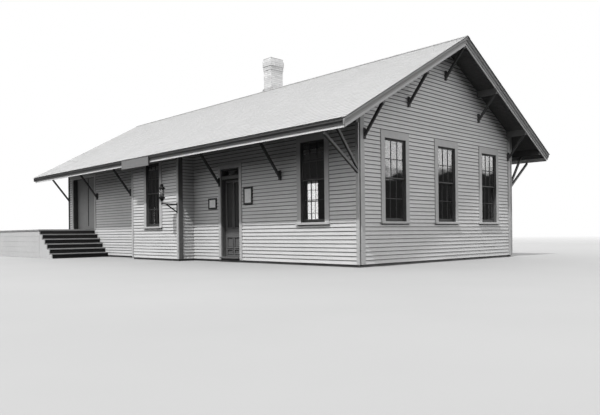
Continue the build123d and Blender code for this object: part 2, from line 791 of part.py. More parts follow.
def freight_door_rail():
    """Flat rail inside the wall, on one long packing board."""
    start = FREIGHT_DOOR_END + FREIGHT_LEAF_LAP - RAIL_LENGTH
    end = FREIGHT_DOOR_END + FREIGHT_LEAF_LAP
    packing_z = (rail_z() - RAIL_HEIGHT, rail_z() - RAIL_HEIGHT / 3)
    packing = front_block((start, end), (-WALL - RAIL_STANDOFF, -WALL), packing_z)
    rail_out = (-WALL - RAIL_STANDOFF - RAIL_THICKNESS, -WALL - RAIL_STANDOFF)
    rail = front_block((start, end), rail_out, (rail_z() - RAIL_HEIGHT, rail_z()))
    return [packing + rail]


def freight_leaf_out():
    """Range of the sliding leaf's thickness, measured out of the front wall's face."""
    face = -WALL - FREIGHT_LEAF_GAP
    return (face - FREIGHT_LEAF, face)


def freight_leaf_span():
    """Ends of the sliding leaf along the building."""
    return (FREIGHT_DOOR_START - FREIGHT_LEAF_LAP, FREIGHT_DOOR_END + FREIGHT_LEAF_LAP)


def freight_door():
    """Wide boarded leaf with a sunk strip down its middle."""
    z_range = (FREIGHT_FLOOR_TOP + FREIGHT_LEAF_FLOOR_GAP, rail_z() - RAIL_HEIGHT - FREIGHT_LEAF_GAP)
    leaf = front_block(freight_leaf_span(), freight_leaf_out(), z_range)
    middle = (FREIGHT_DOOR_START + FREIGHT_DOOR_END) / 2
    strip_out = (freight_leaf_out()[1] - FREIGHT_LEAF_STRIP_DEPTH, freight_leaf_out()[1] + CUT)
    strip_z = (z_range[0] + FREIGHT_LEAF_RAIL, z_range[1] + CUT)
    return [leaf - front_block(span(middle, FREIGHT_LEAF_STRIP), strip_out, strip_z)]


def freight_door_hangers():
    """Two wheels on the rail, each with the strap that carries the leaf."""
    start, end = freight_leaf_span()
    leaf_back = freight_leaf_out()[0]
    wheel_out = -WALL - RAIL_STANDOFF - RAIL_THICKNESS / 2
    wheel_z = rail_z() + WHEEL_GAP + WHEEL_RADIUS
    hangers = []
    for middle in (start + HANGER_INSET, end - HANGER_INSET):
        wheel = Cylinder(WHEEL_RADIUS, WHEEL_THICKNESS, rotation=(90, 0, 0))
        wheel = Pos(along(middle), -HALF_WIDTH - wheel_out, wheel_z) * wheel
        strap_out = (leaf_back - HANGER_THICKNESS, leaf_back)
        strap_z = (rail_z() - RAIL_HEIGHT - HANGER_INSET, wheel_z + WHEEL_RADIUS / 2)
        strap = front_block(span(middle, HANGER_WIDTH), strap_out, strap_z)
        pin_out = (leaf_back, wheel_out - WHEEL_THICKNESS / 2)
        pin = front_block(span(middle, WHEEL_RADIUS / 2), pin_out, span(wheel_z, WHEEL_RADIUS / 2))
        hangers.append(wheel + strap + pin)
    return hangers


def chimney_cut(solid):
    """A roof solid with the chimney's hole through it."""
    hole_x, hole_y = chimney_range()
    return solid - block(hole_x, hole_y, (FOUNDATION_HEIGHT, CHIMNEY_TOP_Z))


def roof_slope(side):
    """Rafters and boards of one slope, as one slab."""
    return [chimney_cut(slope_layer(DECK_TOP_Z, UNDERSIDE_Z, ROOF_END_Y, ROOF_END_X, side))]


def roof_shingles():
    """Shingle covering of both slopes, out to its drip edges."""
    return [chimney_cut(slope_layer(RIDGE_Z, DECK_TOP_Z, EAVE_Y, RAKE_X, side)) for side in (-1, 1)]


def fascia_boards():
    """Plumb boards across the ends of the rafters, front and back, mitred to the rake boards' backs."""
    top = roof_z(FASCIA_Y, DECK_TOP_Z)
    low = top - FASCIA_DEPTH
    section = [
        (-FASCIA_Y, top),
        (-ROOF_END_Y, roof_z(ROOF_END_Y, DECK_TOP_Z)),
        (-ROOF_END_Y, low),
        (-FASCIA_Y, low),
    ]
    front = prism_along_x(section, (-ROOF_END_X, ROOF_END_X))
    return [front] + mirrored_in_y([front])


def rake_boards():
    """Sloping boards over the ends of the roof, whose lower edges meet the fascia's at the corners."""
    eave_top = roof_z(FASCIA_Y, DECK_TOP_Z)
    section = [
        (0, DECK_TOP_Z),
        (-FASCIA_Y, eave_top),
        (-FASCIA_Y, eave_top - FASCIA_DEPTH),
        (0, DECK_TOP_Z - FASCIA_DEPTH),
    ]
    front = prism_along_x(section, (ROOF_END_X, RAKE_BOARD_X))
    near = [front] + mirrored_in_y([front])
    return near + mirrored_in_x(near)


def crown_section():
    """Outline of the crown moulding: a cove and a round between flats, out first and then up.

    Each member steps back by a quirk under the one above it.
    """
    foot = -CROWN_HEIGHT
    low = (CROWN_FLAT, foot + CROWN_FLAT)
    high = (CROWN_PROJECTION, -CROWN_FLAT)
    middle = ((low[0] + high[0]) / 2, (low[1] + high[1]) / 2)
    under_middle = (middle[0] - CROWN_QUIRK, middle[1])
    under_high = (high[0] - CROWN_QUIRK, high[1])
    cove = TangentArc(low, under_middle, tangent=(0, 1))
    swell = TangentArc(middle, under_high, tangent=(1, 1))
    step = Line(under_middle, middle)
    flats = Polyline(under_high, high, (CROWN_PROJECTION, 0), (0, 0), (0, foot), (CROWN_FLAT, foot), low)
    return make_face(cove + step + swell + flats)


def crown_mouldings():
    """Crown moulding under the shingles' edge, along both eaves and up all four rakes."""
    eave_top = roof_z(CROWN_Y, DECK_TOP_Z)
    eave_plane = Plane(origin=(RAKE_BOARD_X, -FASCIA_Y, eave_top), x_dir=(0, -1, 0), z_dir=(-1, 0, 0))
    eave = extrude(eave_plane * crown_section(), amount=2 * RAKE_BOARD_X)
    eaves = [eave] + mirrored_in_y([eave])
    rake_plane = Plane(
        origin=(RAKE_BOARD_X, CROWN_HEIGHT, DECK_TOP_Z + CROWN_HEIGHT * SLOPE),
        x_dir=(1, 0, 0),
        z_dir=(0, -COS_PITCH, -SLOPE * COS_PITCH),
    )
    rake = extrude(rake_plane * crown_section(), amount=(CROWN_Y + 2 * CROWN_HEIGHT) / COS_PITCH)
    rake = rake & block((RAKE_BOARD_X, CROWN_X), (-CROWN_Y, 0), (0, RIDGE_Z))
    rakes = [rake] + mirrored_in_y([rake])
    return eaves + rakes + mirrored_in_x(rakes)


def lookout_inward():
    """Distances in from the front wall of the five lookouts at each end."""
    half = [LOOKOUT_PLATE_IN, LOOKOUT_MIDDLE_IN]
    return half + [HALF_WIDTH] + [WIDTH - value for value in reversed(half)]


def lookout_underside(distance):
    """Height of the underside of a lookout."""
    return roof_z(inward(distance), UNDERSIDE_Z) - LOOKOUT_DEPTH


def lookouts():
    """Short beams from the end walls out to the rake boards, under the roof."""
    beams = []
    for distance in lookout_inward():
        z_range = (lookout_underside(distance), RIDGE_Z)
        y_range = span(inward(distance), LOOKOUT_WIDTH)
        beams.append(under_roof(block((HALF_LENGTH, ROOF_END_X), y_range, z_range)))
    return both_gables([scribed(beam, near_corner_boards()) for beam in beams])


def purlin_underside():
    """Height of the underside of the eave purlins."""
    return roof_z(HALF_WIDTH + PURLIN_OUT, UNDERSIDE_Z) - PURLIN_DEPTH


def eave_purlins():
    """Long beams under the eaves, outside the walls, on the outer ends of the brackets."""
    y_range = span(-HALF_WIDTH - PURLIN_OUT, PURLIN_WIDTH)
    purlin = under_roof(block((-ROOF_END_X, ROOF_END_X), y_range, (purlin_underside(), RIDGE_Z)))
    return [purlin] + mirrored_in_y([purlin])


def strut_outline(foot_out, foot_z, top_out, top_z):
    """Outline of a strut from a plumb cut at its foot to a level cut at its top, through its middle."""
    rise = top_z - foot_z
    run = top_out - foot_out
    length = math.hypot(run, rise)
    plumb = STRUT * length / run / 2
    level = STRUT * length / rise / 2
    return [
        (foot_out, foot_z - plumb),
        (top_out + level, top_z),
        (top_out - level, top_z),
        (foot_out, foot_z + plumb),
    ]


def gable_brackets():
    """Under each lookout a wall block and a strut, at both ends."""
    brackets = []
    block_out = (HALF_LENGTH, HALF_LENGTH + STRUT_BLOCK_PROUD)
    top_x = ROOF_END_X - STRUT
    for distance in lookout_inward():
        under = lookout_underside(distance)
        foot = under - GABLE_STRUT_DROP
        middle = inward(distance)
        wall_block = block(block_out, span(middle, STRUT_BLOCK_WIDTH), (foot, foot + STRUT_BLOCK_HEIGHT))
        outline = strut_outline(block_out[1], foot + GABLE_STRUT_ABOVE_BLOCK_FOOT, top_x, under)
        bracket = wall_block + prism_along_y(outline, span(middle, STRUT))
        brackets.append(scribed(bracket, near_corner_boards()))
    return both_gables(brackets)


def eave_strut(middle_x, foot_out):
    """Strut from a plumb foot, this far out from the ridge, up to the eave purlin."""
    outline = strut_outline(foot_out, EAVE_STRUT_FOOT_Z, HALF_WIDTH + PURLIN_OUT, purlin_underside())
    section = [(-out, z) for out, z in outline]
    return prism_along_x(section, span(middle_x, STRUT))


def flat_strut(middle_x, foot_out):
    """Second, flatter strut at the passenger-end corners, out to the back of the fascia board."""
    rise = CORNER_STRUT_TOP_Z - CORNER_STRUT_FOOT_Z
    run = ROOF_END_Y - foot_out
    plumb = STRUT * math.hypot(rise, run) / run / 2
    section = [
        (-foot_out, CORNER_STRUT_FOOT_Z - plumb),
        (-ROOF_END_Y, CORNER_STRUT_TOP_Z - plumb),
        (-ROOF_END_Y, CORNER_STRUT_TOP_Z + plumb),
        (-foot_out, CORNER_STRUT_FOOT_Z + plumb),
    ]
    return prism_along_x(section, span(middle_x, STRUT))


def eave_bracket(middle_x):
    """Block on the front wall with a strut off it."""
    block_y = (-HALF_WIDTH - STRUT_BLOCK_PROUD, -HALF_WIDTH)
    foot = EAVE_STRUT_FOOT_Z - EAVE_STRUT_ABOVE_BLOCK_FOOT
    wall_block = block(span(middle_x, STRUT_BLOCK_WIDTH), block_y, (foot, foot + STRUT_BLOCK_HEIGHT))
    return wall_block + eave_strut(middle_x, HALF_WIDTH + STRUT_BLOCK_PROUD)


def bracket_positions():
    """X of the eave brackets, one at each end of each bay of the roof."""
    return [HALF_LENGTH - index * bracket_pitch() for index in range(EAVE_BAYS + 1)]


def eave_brackets():
    """Brackets under both eaves; the bay takes the place of the front one that would stand on it."""
    passenger_end, *between, freight_end = bracket_positions()
    board_out = HALF_WIDTH + TRIM_PROUD
    near_corner = eave_strut(passenger_end, board_out) + flat_strut(passenger_end, board_out)
    corners = [near_corner, eave_strut(freight_end, board_out)]
    bay_x = (along(BAY_END), along(BAY_START))
    beside_bay = [eave_bracket(middle_x) for middle_x in between if not bay_x[0] <= middle_x <= bay_x[1]]
    back = mirrored_in_y(corners + [eave_bracket(middle_x) for middle_x in between])
    neighbours = corner_boards() + door_casing() + freight_door_casing()
    return [scribed(bracket, neighbours) for bracket in corners + beside_bay + back]


def chimney():
    """Brick shaft from the ground through the ridge, with a band, a stepped cap and a flue."""
    shaft_x, shaft_y = chimney_range()

    def course(proud, z_range):
        """A course that stands proud of the shaft all round."""
        x_range = (shaft_x[0] - proud, shaft_x[1] + proud)
        y_range = (shaft_y[0] - proud, shaft_y[1] + proud)
        return block(x_range, y_range, z_range)

    stack = course(0, (0, CHIMNEY_TOP_Z))
    stack += course(CHIMNEY_BAND_PROUD, (CHIMNEY_BAND_Z, CHIMNEY_BAND_Z + CHIMNEY_BAND))
    stack += course(CHIMNEY_CAP_PROUD / 2, (CHIMNEY_CAP_Z, CHIMNEY_CAP_Z + CHIMNEY_CAP_STEP))
    stack += course(CHIMNEY_CAP_PROUD, (CHIMNEY_CAP_Z + CHIMNEY_CAP_STEP, CHIMNEY_TOP_Z - CHIMNEY_CAP_STEP))
    stack += course(CHIMNEY_CAP_PROUD / 2, (CHIMNEY_TOP_Z - CHIMNEY_CAP_STEP, CHIMNEY_TOP_Z))
    middle_x = sum(shaft_x) / 2
    middle_y = sum(shaft_y) / 2
    flue = block(span(middle_x, FLUE), span(middle_y, FLUE), (CHIMNEY_TOP_Z - FLUE_DEPTH, CHIMNEY_TOP_Z + CUT))
    return [stack - flue]


def platform_end():
    """Distance along the building to the platform's far end."""
    return PLATFORM_START + PLATFORM_BAYS * PLATFORM_BAY


def platform_deck():
    """Planked deck of the freight platform."""
    z_range = (FREIGHT_FLOOR_TOP - PLATFORM_DECK, FREIGHT_FLOOR_TOP)
    deck = front_block((PLATFORM_START, platform_end()), (PLATFORM_WALL_GAP, PLATFORM_DEPTH), z_range)
    return [scribed(deck, corner_boards())]


def platform_skirt_out():
    """Range of the front skirt's thickness, out from the front wall."""
    outer = PLATFORM_DEPTH - PLATFORM_SKIRT_SETBACK
    return (outer - PLATFORM_SKIRT, outer)


def platform_front_skirt():
    """Boarded face of the platform."""
    ends = (PLATFORM_START + PLATFORM_SKIRT_SETBACK, platform_end() - PLATFORM_SKIRT_SETBACK)
    return [front_block(ends, platform_skirt_out(), (0, FREIGHT_FLOOR_TOP - PLATFORM_DECK))]


def platform_bents():
    """Boarded cross frames that carry the deck, and the ledger on the wall."""
    top = FREIGHT_FLOOR_TOP - PLATFORM_DECK
    bents = []
    for index in range(PLATFORM_BAYS + 1):
        start = PLATFORM_START + PLATFORM_SKIRT_SETBACK
        usable = platform_end() - PLATFORM_START - 2 * PLATFORM_SKIRT_SETBACK - PLATFORM_SKIRT
        place = start + index * usable / PLATFORM_BAYS
        out_range = (PLATFORM_LEDGER, platform_skirt_out()[0])
        bents.append(front_block((place, place + PLATFORM_SKIRT), out_range, (0, top)))
    return bents


def platform_ledger():
    """Board on the wall that carries the deck's inner edge."""
    top = FREIGHT_FLOOR_TOP - PLATFORM_DECK
    reach = (PLATFORM_START + PLATFORM_SKIRT_SETBACK, LENGTH + TRIM_PROUD - CORNER_BOARD_FRONT)
    return [front_block(reach, (0, PLATFORM_LEDGER), (top - PLATFORM_LEDGER_HEIGHT, top))]


def step_rise():
    """Height of one step."""
    return FREIGHT_FLOOR_TOP / STEP_COUNT


def step_face(index):
    """Distance along the building of the riser that climbs to a tread; tread 0 is the lowest."""
    return PLATFORM_START - (STEP_COUNT - 1 - index) * STEP_GOING


def step_out():
    """Range of the flight's width, out from the front wall."""
    return (PLATFORM_WALL_GAP, PLATFORM_DEPTH - PLATFORM_SKIRT_SETBACK)


def step_treads():
    """Treads of the flight that climbs along the wall."""
    treads = []
    for index in range(STEP_COUNT - 1):
        top = (index + 1) * step_rise()
        place = (step_face(index) - STEP_NOSING - STEP_RISER, step_face(index + 1) - STEP_RISER)
        treads.append(front_block(place, step_out(), (top - STEP_TREAD, top)))
    return treads


def step_risers():
    """Riser boards, each run down to the ground behind the one below it."""
    risers = []
    out_range = (step_out()[0], step_out()[1] - STEP_PANEL)
    for index in range(STEP_COUNT):
        top = (index + 1) * step_rise() - STEP_TREAD
        if index == STEP_COUNT - 1:
            top = FREIGHT_FLOOR_TOP - PLATFORM_DECK
        place = (step_face(index) - STEP_RISER, step_face(index))
        risers.append(front_block(place, out_range, (0, top)))
    return risers


def step_side_panel():
    """Board that closes the outer side of the flight, cut to its steps."""
    points = [(along(step_face(STEP_COUNT - 1)), 0)]
    for index in reversed(range(STEP_COUNT - 1)):
        top = (index + 1) * step_rise() - STEP_TREAD
        points.append((along(step_face(index + 1)), top))
        points.append((along(step_face(index) - STEP_RISER), top))
    points.append((along(step_face(0) - STEP_RISER), 0))
    outer = -HALF_WIDTH - step_out()[1]
    return [prism_along_y(points, (outer, outer + STEP_PANEL))]


def lamp_x():
    """X of the lamp bracket, on the middle of the bay's corner board."""
    return along(BAY_START - TRIM_PROUD + BAY_CORNER_BOARD / 2)


def bar(start, end, radius):
    """A round bar between two points."""
    axis = Vector(*end) - Vector(*start)
    plane = Plane(origin=start, z_dir=axis)
    return extrude(plane * Circle(radius), amount=axis.length)


def lamp_bracket():
    """Iron wall plate, arm, brace, stem and cup that hold the lantern out from the bay."""
    face = -HALF_WIDTH - BAY_DEPTH - TRIM_PROUD
    x = lamp_x()
    plate_y = (face - LAMP_PLATE, face)
    plate_z = (LAMP_ARM_Z - LAMP_PLATE_HEIGHT + LAMP_PLATE_WIDTH, LAMP_ARM_Z + LAMP_PLATE_WIDTH)
    plate = block(span(x, LAMP_PLATE_WIDTH), plate_y, plate_z)
    end_y = face - LAMP_ARM_LENGTH
    arm = bar((x, plate_y[0], LAMP_ARM_Z), (x, end_y, LAMP_ARM_Z), LAMP_ARM_RADIUS)
    brace_foot = (x, plate_y[0], LAMP_ARM_Z - LAMP_BRACE_DROP)
    brace = bar(brace_foot, (x, face - LAMP_BRACE_REACH, LAMP_ARM_Z), LAMP_ARM_RADIUS)
    stem = bar((x, end_y, LAMP_ARM_Z), (x, end_y, LAMP_ARM_Z + LAMP_STEM), LAMP_ARM_RADIUS)
    cup = Pos(x, end_y, LAMP_ARM_Z + LAMP_STEM) * Cone(
        LAMP_ARM_RADIUS, LAMP_CUP_RADIUS, LAMP_CUP_HEIGHT, align=(Align.CENTER, Align.CENTER, Align.MIN)
    )
    return [plate + arm + brace + stem + cup]


def lantern():
    """Turned lantern: base, glass that widens upwards, roof and vent."""
    base = LAMP_ARM_Z + LAMP_STEM + LAMP_CUP_HEIGHT
    glass = LANTERN_BASE_HEIGHT
    roof = glass + LANTERN_GLASS_HEIGHT
    vent = roof + LANTERN_ROOF_HEIGHT
    outline = make_face(
        Polyline(
            (0, 0),
            (LAMP_CUP_RADIUS, 0),
            (LANTERN_BASE_RADIUS, glass),
            (LANTERN_GLASS_LOW_RADIUS, glass),
            (LANTERN_GLASS_HIGH_RADIUS, roof),
            (LANTERN_ROOF_RADIUS, roof),
            (LANTERN_VENT_RADIUS, vent),
            (LANTERN_VENT_RADIUS, vent + LANTERN_VENT_HEIGHT),
            (0, vent + LANTERN_VENT_HEIGHT),
            close=True,
        )
    )
    body = revolve(Plane.XZ * outline, axis=Axis.Z)
    end_y = -HALF_WIDTH - BAY_DEPTH - TRIM_PROUD - LAMP_ARM_LENGTH
    return [Pos(lamp_x(), end_y, base) * body]


def notice_board(middle, width, low_z, height):
    """One framed board on the front wall, its sheet sunk behind the frame."""
    board = front_block(span(middle, width), (0, NOTICE_THICKNESS), (low_z, low_z + height))
    inner_z = (low_z + NOTICE_FRAME, low_z + height - NOTICE_FRAME)
    sheet_out = (NOTICE_THICKNESS - NOTICE_RECESS, NOTICE_THICKNESS + CUT)
    return board - front_block(span(middle, width - 2 * NOTICE_FRAME), sheet_out, inner_z)


def notice_boards():
    """The framed boards on each side of the passenger door."""
    return [
        notice_board(NOTICE_LEFT_ALONG, NOTICE_LEFT_WIDTH, NOTICE_LEFT_Z, NOTICE_LEFT_HEIGHT),
        notice_board(NOTICE_RIGHT_ALONG, NOTICE_RIGHT_WIDTH, NOTICE_RIGHT_Z, NOTICE_RIGHT_HEIGHT),
    ]


def eave_board():
    """Bare board hung on the face of the eave's crown moulding, over the bay."""
    x_range = span(along(EAVE_BOARD_ALONG), EAVE_BOARD_LENGTH)
    y_range = (-CROWN_Y - EAVE_BOARD_THICKNESS, -CROWN_Y)
    top = roof_z(EAVE_Y, DECK_TOP_Z)
    return [block(x_range, y_range, (top - EAVE_BOARD_HEIGHT, top))]


NODES = {
    "foundation": foundation,
    "passenger_floor": passenger_floor,
    "freight_floor": freight_floor,
    "freight_floor_bearers": freight_floor_bearers,
    "front_wall_right": front_wall_right,
    "front_wall_middle": front_wall_middle,
    "front_wall_left": front_wall_left,
    "front_wall_end": front_wall_end,
    "front_wall_headers": front_wall_headers,
    "bay_front_wall": bay_front_wall,
    "bay_side_walls": bay_side_walls,
    "near_gable_wall": gable_wall,
    "far_gable_wall": lambda: mirrored_in_x(gable_wall()),
    "back_wall": back_wall,
    "corner_boards": corner_boards,
    "gable_casings": gable_casings,
    "gable_sashes": gable_sashes,
    "gable_glass": gable_glass,
    "front_casings": front_casings,
    "front_sashes": front_sashes,
    "front_glass": front_glass,
    "back_casings": back_casings,
    "back_sashes": back_sashes,
    "back_glass": back_glass,
    "door_casing": door_casing,
    "door_frame": door_frame,
    "door_transom": door_transom,
    "passenger_door": passenger_door,
    "door_hinges": door_hinges,
    "door_knob": door_knob,
    "freight_door_casing": freight_door_casing,
    "freight_door_rail": freight_door_rail,
    "freight_door": freight_door,
    "freight_door_hangers": freight_door_hangers,
    "roof_front_slope": lambda: roof_slope(-1),
    "roof_back_slope": lambda: roof_slope(1),
    "roof_shingles": roof_shingles,
    "fascia_boards": fascia_boards,
    "rake_boards": rake_boards,
    "crown_mouldings": crown_mouldings,
    "lookouts": lookouts,
    "eave_purlins": eave_purlins,
    "eave_brackets": eave_brackets,
    "gable_brackets": gable_brackets,
    "chimney": chimney,
    "platform_deck": platform_deck,
    "platform_front_skirt": platform_front_skirt,
    "platform_bents": platform_bents,
    "platform_ledger": platform_ledger,
    "step_treads": step_treads,
    "step_risers": step_risers,
    "step_side_panel": step_side_panel,
    "lamp_bracket": lamp_bracket,
    "lantern": lantern,
    "notice_boards": notice_boards,
    "eave_board": eave_board,
}


def main():
    """Write one STEP file for each node."""
    os.makedirs("parts", exist_ok=True)
    for name, make in NODES.items():
        solids = [solid for piece in make() for solid in piece.solids()]
        node = solids[0] if len(solids) == 1 else Compound(solids)
        node.label = name
        export_step(node, f"parts/{name}.step")


main()
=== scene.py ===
import logging
import math
from collections.abc import Callable, Iterable, Sequence
from dataclasses import dataclass, field
from enum import Enum
from functools import partial, reduce

import bpy
import numpy as np
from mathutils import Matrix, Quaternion, Vector

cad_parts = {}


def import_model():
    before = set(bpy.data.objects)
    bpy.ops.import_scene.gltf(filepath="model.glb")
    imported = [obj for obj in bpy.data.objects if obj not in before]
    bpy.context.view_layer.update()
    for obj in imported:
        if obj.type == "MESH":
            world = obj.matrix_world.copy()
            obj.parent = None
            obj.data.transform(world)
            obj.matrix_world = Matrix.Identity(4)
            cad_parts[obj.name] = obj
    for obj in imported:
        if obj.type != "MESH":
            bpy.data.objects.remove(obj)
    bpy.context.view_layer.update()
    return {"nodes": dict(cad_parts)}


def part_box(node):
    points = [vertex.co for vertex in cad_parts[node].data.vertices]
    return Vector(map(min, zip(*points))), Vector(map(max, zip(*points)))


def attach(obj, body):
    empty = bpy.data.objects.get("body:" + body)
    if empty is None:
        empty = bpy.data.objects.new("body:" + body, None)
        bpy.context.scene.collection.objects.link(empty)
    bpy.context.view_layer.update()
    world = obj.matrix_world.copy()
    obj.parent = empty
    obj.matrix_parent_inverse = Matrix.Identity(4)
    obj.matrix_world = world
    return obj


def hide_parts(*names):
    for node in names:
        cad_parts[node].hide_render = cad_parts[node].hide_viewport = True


# The looks of a small timber railway station, in metres, in the frame of its construction model:
# +X runs along the ridge towards the passenger end, -Y faces the track and +Z points up.

LOG = logging.getLogger("station")
SEED = 1897

Span = tuple[float, float]
Point = tuple[float, float, float]
Piece = bpy.types.Object
Polygon = bpy.types.MeshPolygon
Material = bpy.types.Material
Socket = bpy.types.NodeSocket

# Lengths below this one count as nothing.
HAIR = 1e-4
# A face looks along an axis when its normal's share of that axis is larger than this.
STRAIGHT = 0.9


class Axis(Enum):
    """A direction of the frame, as the index of its coordinate."""

    X = 0
    Y = 1
    Z = 2


class Facing(Enum):
    """The way a wall faces, as the turn that brings a front-facing piece round to it."""

    FRONT = 0
    NEAR_GABLE = 90
    BACK = 180
    FAR_GABLE = 270


class Body(Enum):
    """The three bodies of the construction model."""

    BUILDING = "building"
    PASSENGER_LEAF = "passenger_door_leaf"
    FREIGHT_LEAF = "freight_door_leaf"


@dataclass(frozen=True)
class StationSizes:
    """Sizes that the dressing shares with the construction model, in metres."""

    half_length: float = 8.34
    half_width: float = 3.785
    pitch: float = math.radians(29.3)
    underside_apex: float = 6.0495
    deck_apex: float = 6.1756
    wall_foot: float = 0.06
    bay_face: float = -4.373
    bay_x: Span = (-1.59, 1.34)
    bay_board: float = 0.06
    bay_side_board: float = 0.15
    corner_front: float = 0.06
    corner_gable: float = 0.20
    window_width: float = 0.87
    bay_window_width: float = 0.85
    sill_foot: float = 1.055
    sill_top: float = 1.115
    window_head: float = 3.22
    casing_side: float = 0.15
    casing_head: float = 0.19
    gable_window: float = 2.36
    front_window: float = 6.80
    bay_window: float = -0.185
    back_windows: tuple[float, ...] = (6.80, 1.39, -0.70)
    door_x: Span = (2.833, 3.738)
    door_casing: float = 0.118
    door_trim_top: float = 2.95
    freight_x: Span = (-7.90, -5.84)
    freight_z: Span = (1.10, 3.25)
    freight_casing: float = 0.12
    bracket_pitch: float = 2.78
    bracket_count: int = 7

    @property
    def slope(self) -> float:
        """Rise of the roof for each metre across."""
        return math.tan(self.pitch)

    @property
    def gable_windows(self) -> Point:
        """Middles of an end wall's three windows."""
        return (-self.gable_window, 0.0, self.gable_window)

    def underside(self, y: float) -> float:
        """Height of the roof's underside at a distance from the ridge line, on either side."""
        return self.underside_apex - abs(y) * self.slope


SIZES = StationSizes()


def free_hands() -> None:
    """Leave edit mode and leave nothing selected."""
    active = bpy.context.view_layer.objects.active
    if active is not None and active.mode != "OBJECT":
        bpy.ops.object.mode_set(mode="OBJECT")
    bpy.ops.object.select_all(action="DESELECT")


def take(*pieces: Piece) -> None:
    """Select some pieces alone, with the first one active.

    Args:
        pieces: The objects to select.
    """
    free_hands()
    for piece in pieces:
        piece.select_set(True)
    bpy.context.view_layer.objects.active = pieces[0]


def set_down(piece: Piece) -> Piece:
    """Put a piece's place into its mesh, so that its object sits at the origin.

    Args:
        piece: The object, wherever it stands.

    Returns:
        The same object.
    """
    take(piece)
    bpy.ops.object.transform_apply(location=True, rotation=True, scale=True)
    return piece


def block(name: str, xs: Span, ys: Span, zs: Span) -> Piece:
    """A box primitive between two values on each axis.

    Args:
        name: Name of the piece.
        xs: Range on X.
        ys: Range on Y.
        zs: Range on Z.

    Returns:
        The new object, at the origin.
    """
    free_hands()
    ranges = (xs, ys, zs)
    middle = [sum(ends) / 2 for ends in ranges]
    size = [abs(ends[1] - ends[0]) for ends in ranges]
    bpy.ops.mesh.primitive_cube_add(size=1, location=middle, scale=size)
    piece = bpy.context.object
    piece.name = name
    return set_down(piece)


def drum(name: str, foot: Point, radius: float, height: float, sides: int = 16) -> Piece:
    """An upright round bar.

    Args:
        name: Name of the piece.
        foot: Middle of its lower end.
        radius: Its radius.
        height: Its height.
        sides: Number of sides.

    Returns:
        The new object, at the origin.
    """
    free_hands()
    middle = (foot[0], foot[1], foot[2] + height / 2)
    bpy.ops.mesh.primitive_cylinder_add(vertices=sides, radius=radius, depth=height, location=middle)
    piece = bpy.context.object
    piece.name = name
    return set_down(piece)


def edit_faces(
    piece: Piece,
    wanted: Callable[[Polygon], bool],
    work: Callable[[], object],
) -> None:
    """Do one piece of edit-mode work on the faces that pass a test.

    Args:
        piece: The mesh to work on.
        wanted: Says whether a face takes part.
        work: The operators to run in edit mode.
    """
    take(piece)
    bpy.context.tool_settings.mesh_select_mode = (False, False, True)
    bpy.ops.object.mode_set(mode="EDIT")
    bpy.ops.mesh.select_all(action="DESELECT")
    bpy.ops.object.mode_set(mode="OBJECT")
    for polygon in piece.data.polygons:
        polygon.select = wanted(polygon)
    bpy.ops.object.mode_set(mode="EDIT")
    work()
    bpy.ops.object.mode_set(mode="OBJECT")


def edit_whole(piece: Piece, work: Callable[[], object]) -> None:
    """Do one piece of edit-mode work on a whole mesh.

    Args:
        piece: The mesh to work on.
        work: The operators to run in edit mode.
    """
    take(piece)
    bpy.ops.object.mode_set(mode="EDIT")
    bpy.ops.mesh.select_all(action="SELECT")
    work()
    bpy.ops.object.mode_set(mode="OBJECT")


def shifted(piece: Piece, offset: Point) -> Piece:
    """Move a piece, with its place kept in its mesh."""
    piece.location = offset
    return set_down(piece)


def turned(piece: Piece, angles: Point) -> Piece:
    """Turn a piece about X, Y and Z through the frame's origin, by angles in radians."""
    piece.rotation_euler = angles
    return set_down(piece)


def placed(piece: Piece, facing: Facing, offset: Point) -> Piece:
    """Turn a front-facing piece the way its wall faces, then move it there."""
    return shifted(turned(piece, (0, 0, math.radians(facing.value))), offset)


def to_slope(piece: Piece, back: bool) -> Piece:
    """Leave a piece on the front slope, or turn it round to the back one."""
    return turned(piece, (0, 0, math.pi)) if back else piece


def copied(piece: Piece, name: str) -> Piece:
    """A copy with a mesh of its own.

    Args:
        piece: The object to copy.
        name: The copy's name.

    Returns:
        The copy.
    """
    twin = piece.copy()
    twin.data = piece.data.copy()
    twin.name = name
    bpy.context.scene.collection.objects.link(twin)
    return twin


def joined(name: str, parts: Sequence[Piece]) -> Piece:
    """Several meshes made one piece.

    Args:
        name: Name of the piece.
        parts: The objects that go into it.

    Returns:
        The one object that is left.
    """
    take(*parts)
    if len(parts) > 1:
        bpy.ops.object.join()
    whole = bpy.context.view_layer.objects.active
    whole.name = name
    whole.data.name = name
    return whole


def finish_modifier(piece: Piece, kind: str, **settings: object) -> Piece:
    """Add one modifier and apply it.

    Args:
        piece: The object.
        kind: The modifier's type.
        settings: Values of its properties.

    Returns:
        The same object.
    """
    take(piece)
    modifier = piece.modifiers.new(kind.title(), kind)
    for key, value in settings.items():
        setattr(modifier, key, value)
    bpy.ops.object.modifier_apply(modifier=modifier.name)
    return piece


def eased(piece: Piece, width: float, segments: int = 1) -> Piece:
    """Take the sharpness off a piece's edges with a bevel of that width."""
    limit = {"limit_method": "ANGLE", "angle_limit": math.radians(30)}
    return finish_modifier(piece, "BEVEL", width=width, segments=segments, **limit)


def repeated(piece: Piece, offset: Point, count: int) -> Piece:
    """Repeat a piece at a steady distance until its mesh holds that many."""
    spacing = {"use_relative_offset": False, "use_constant_offset": True, "constant_offset_displace": offset}
    return finish_modifier(piece, "ARRAY", fit_type="FIXED_COUNT", count=count, **spacing)


def sawn(piece: Piece, point: Point, normal: Point) -> Piece:
    """Saw a piece through a plane and drop what lies on the side that the normal points to."""
    edit_whole(
        piece, partial(bpy.ops.mesh.bisect, plane_co=point, plane_no=normal, use_fill=True, clear_outer=True)
    )
    return piece


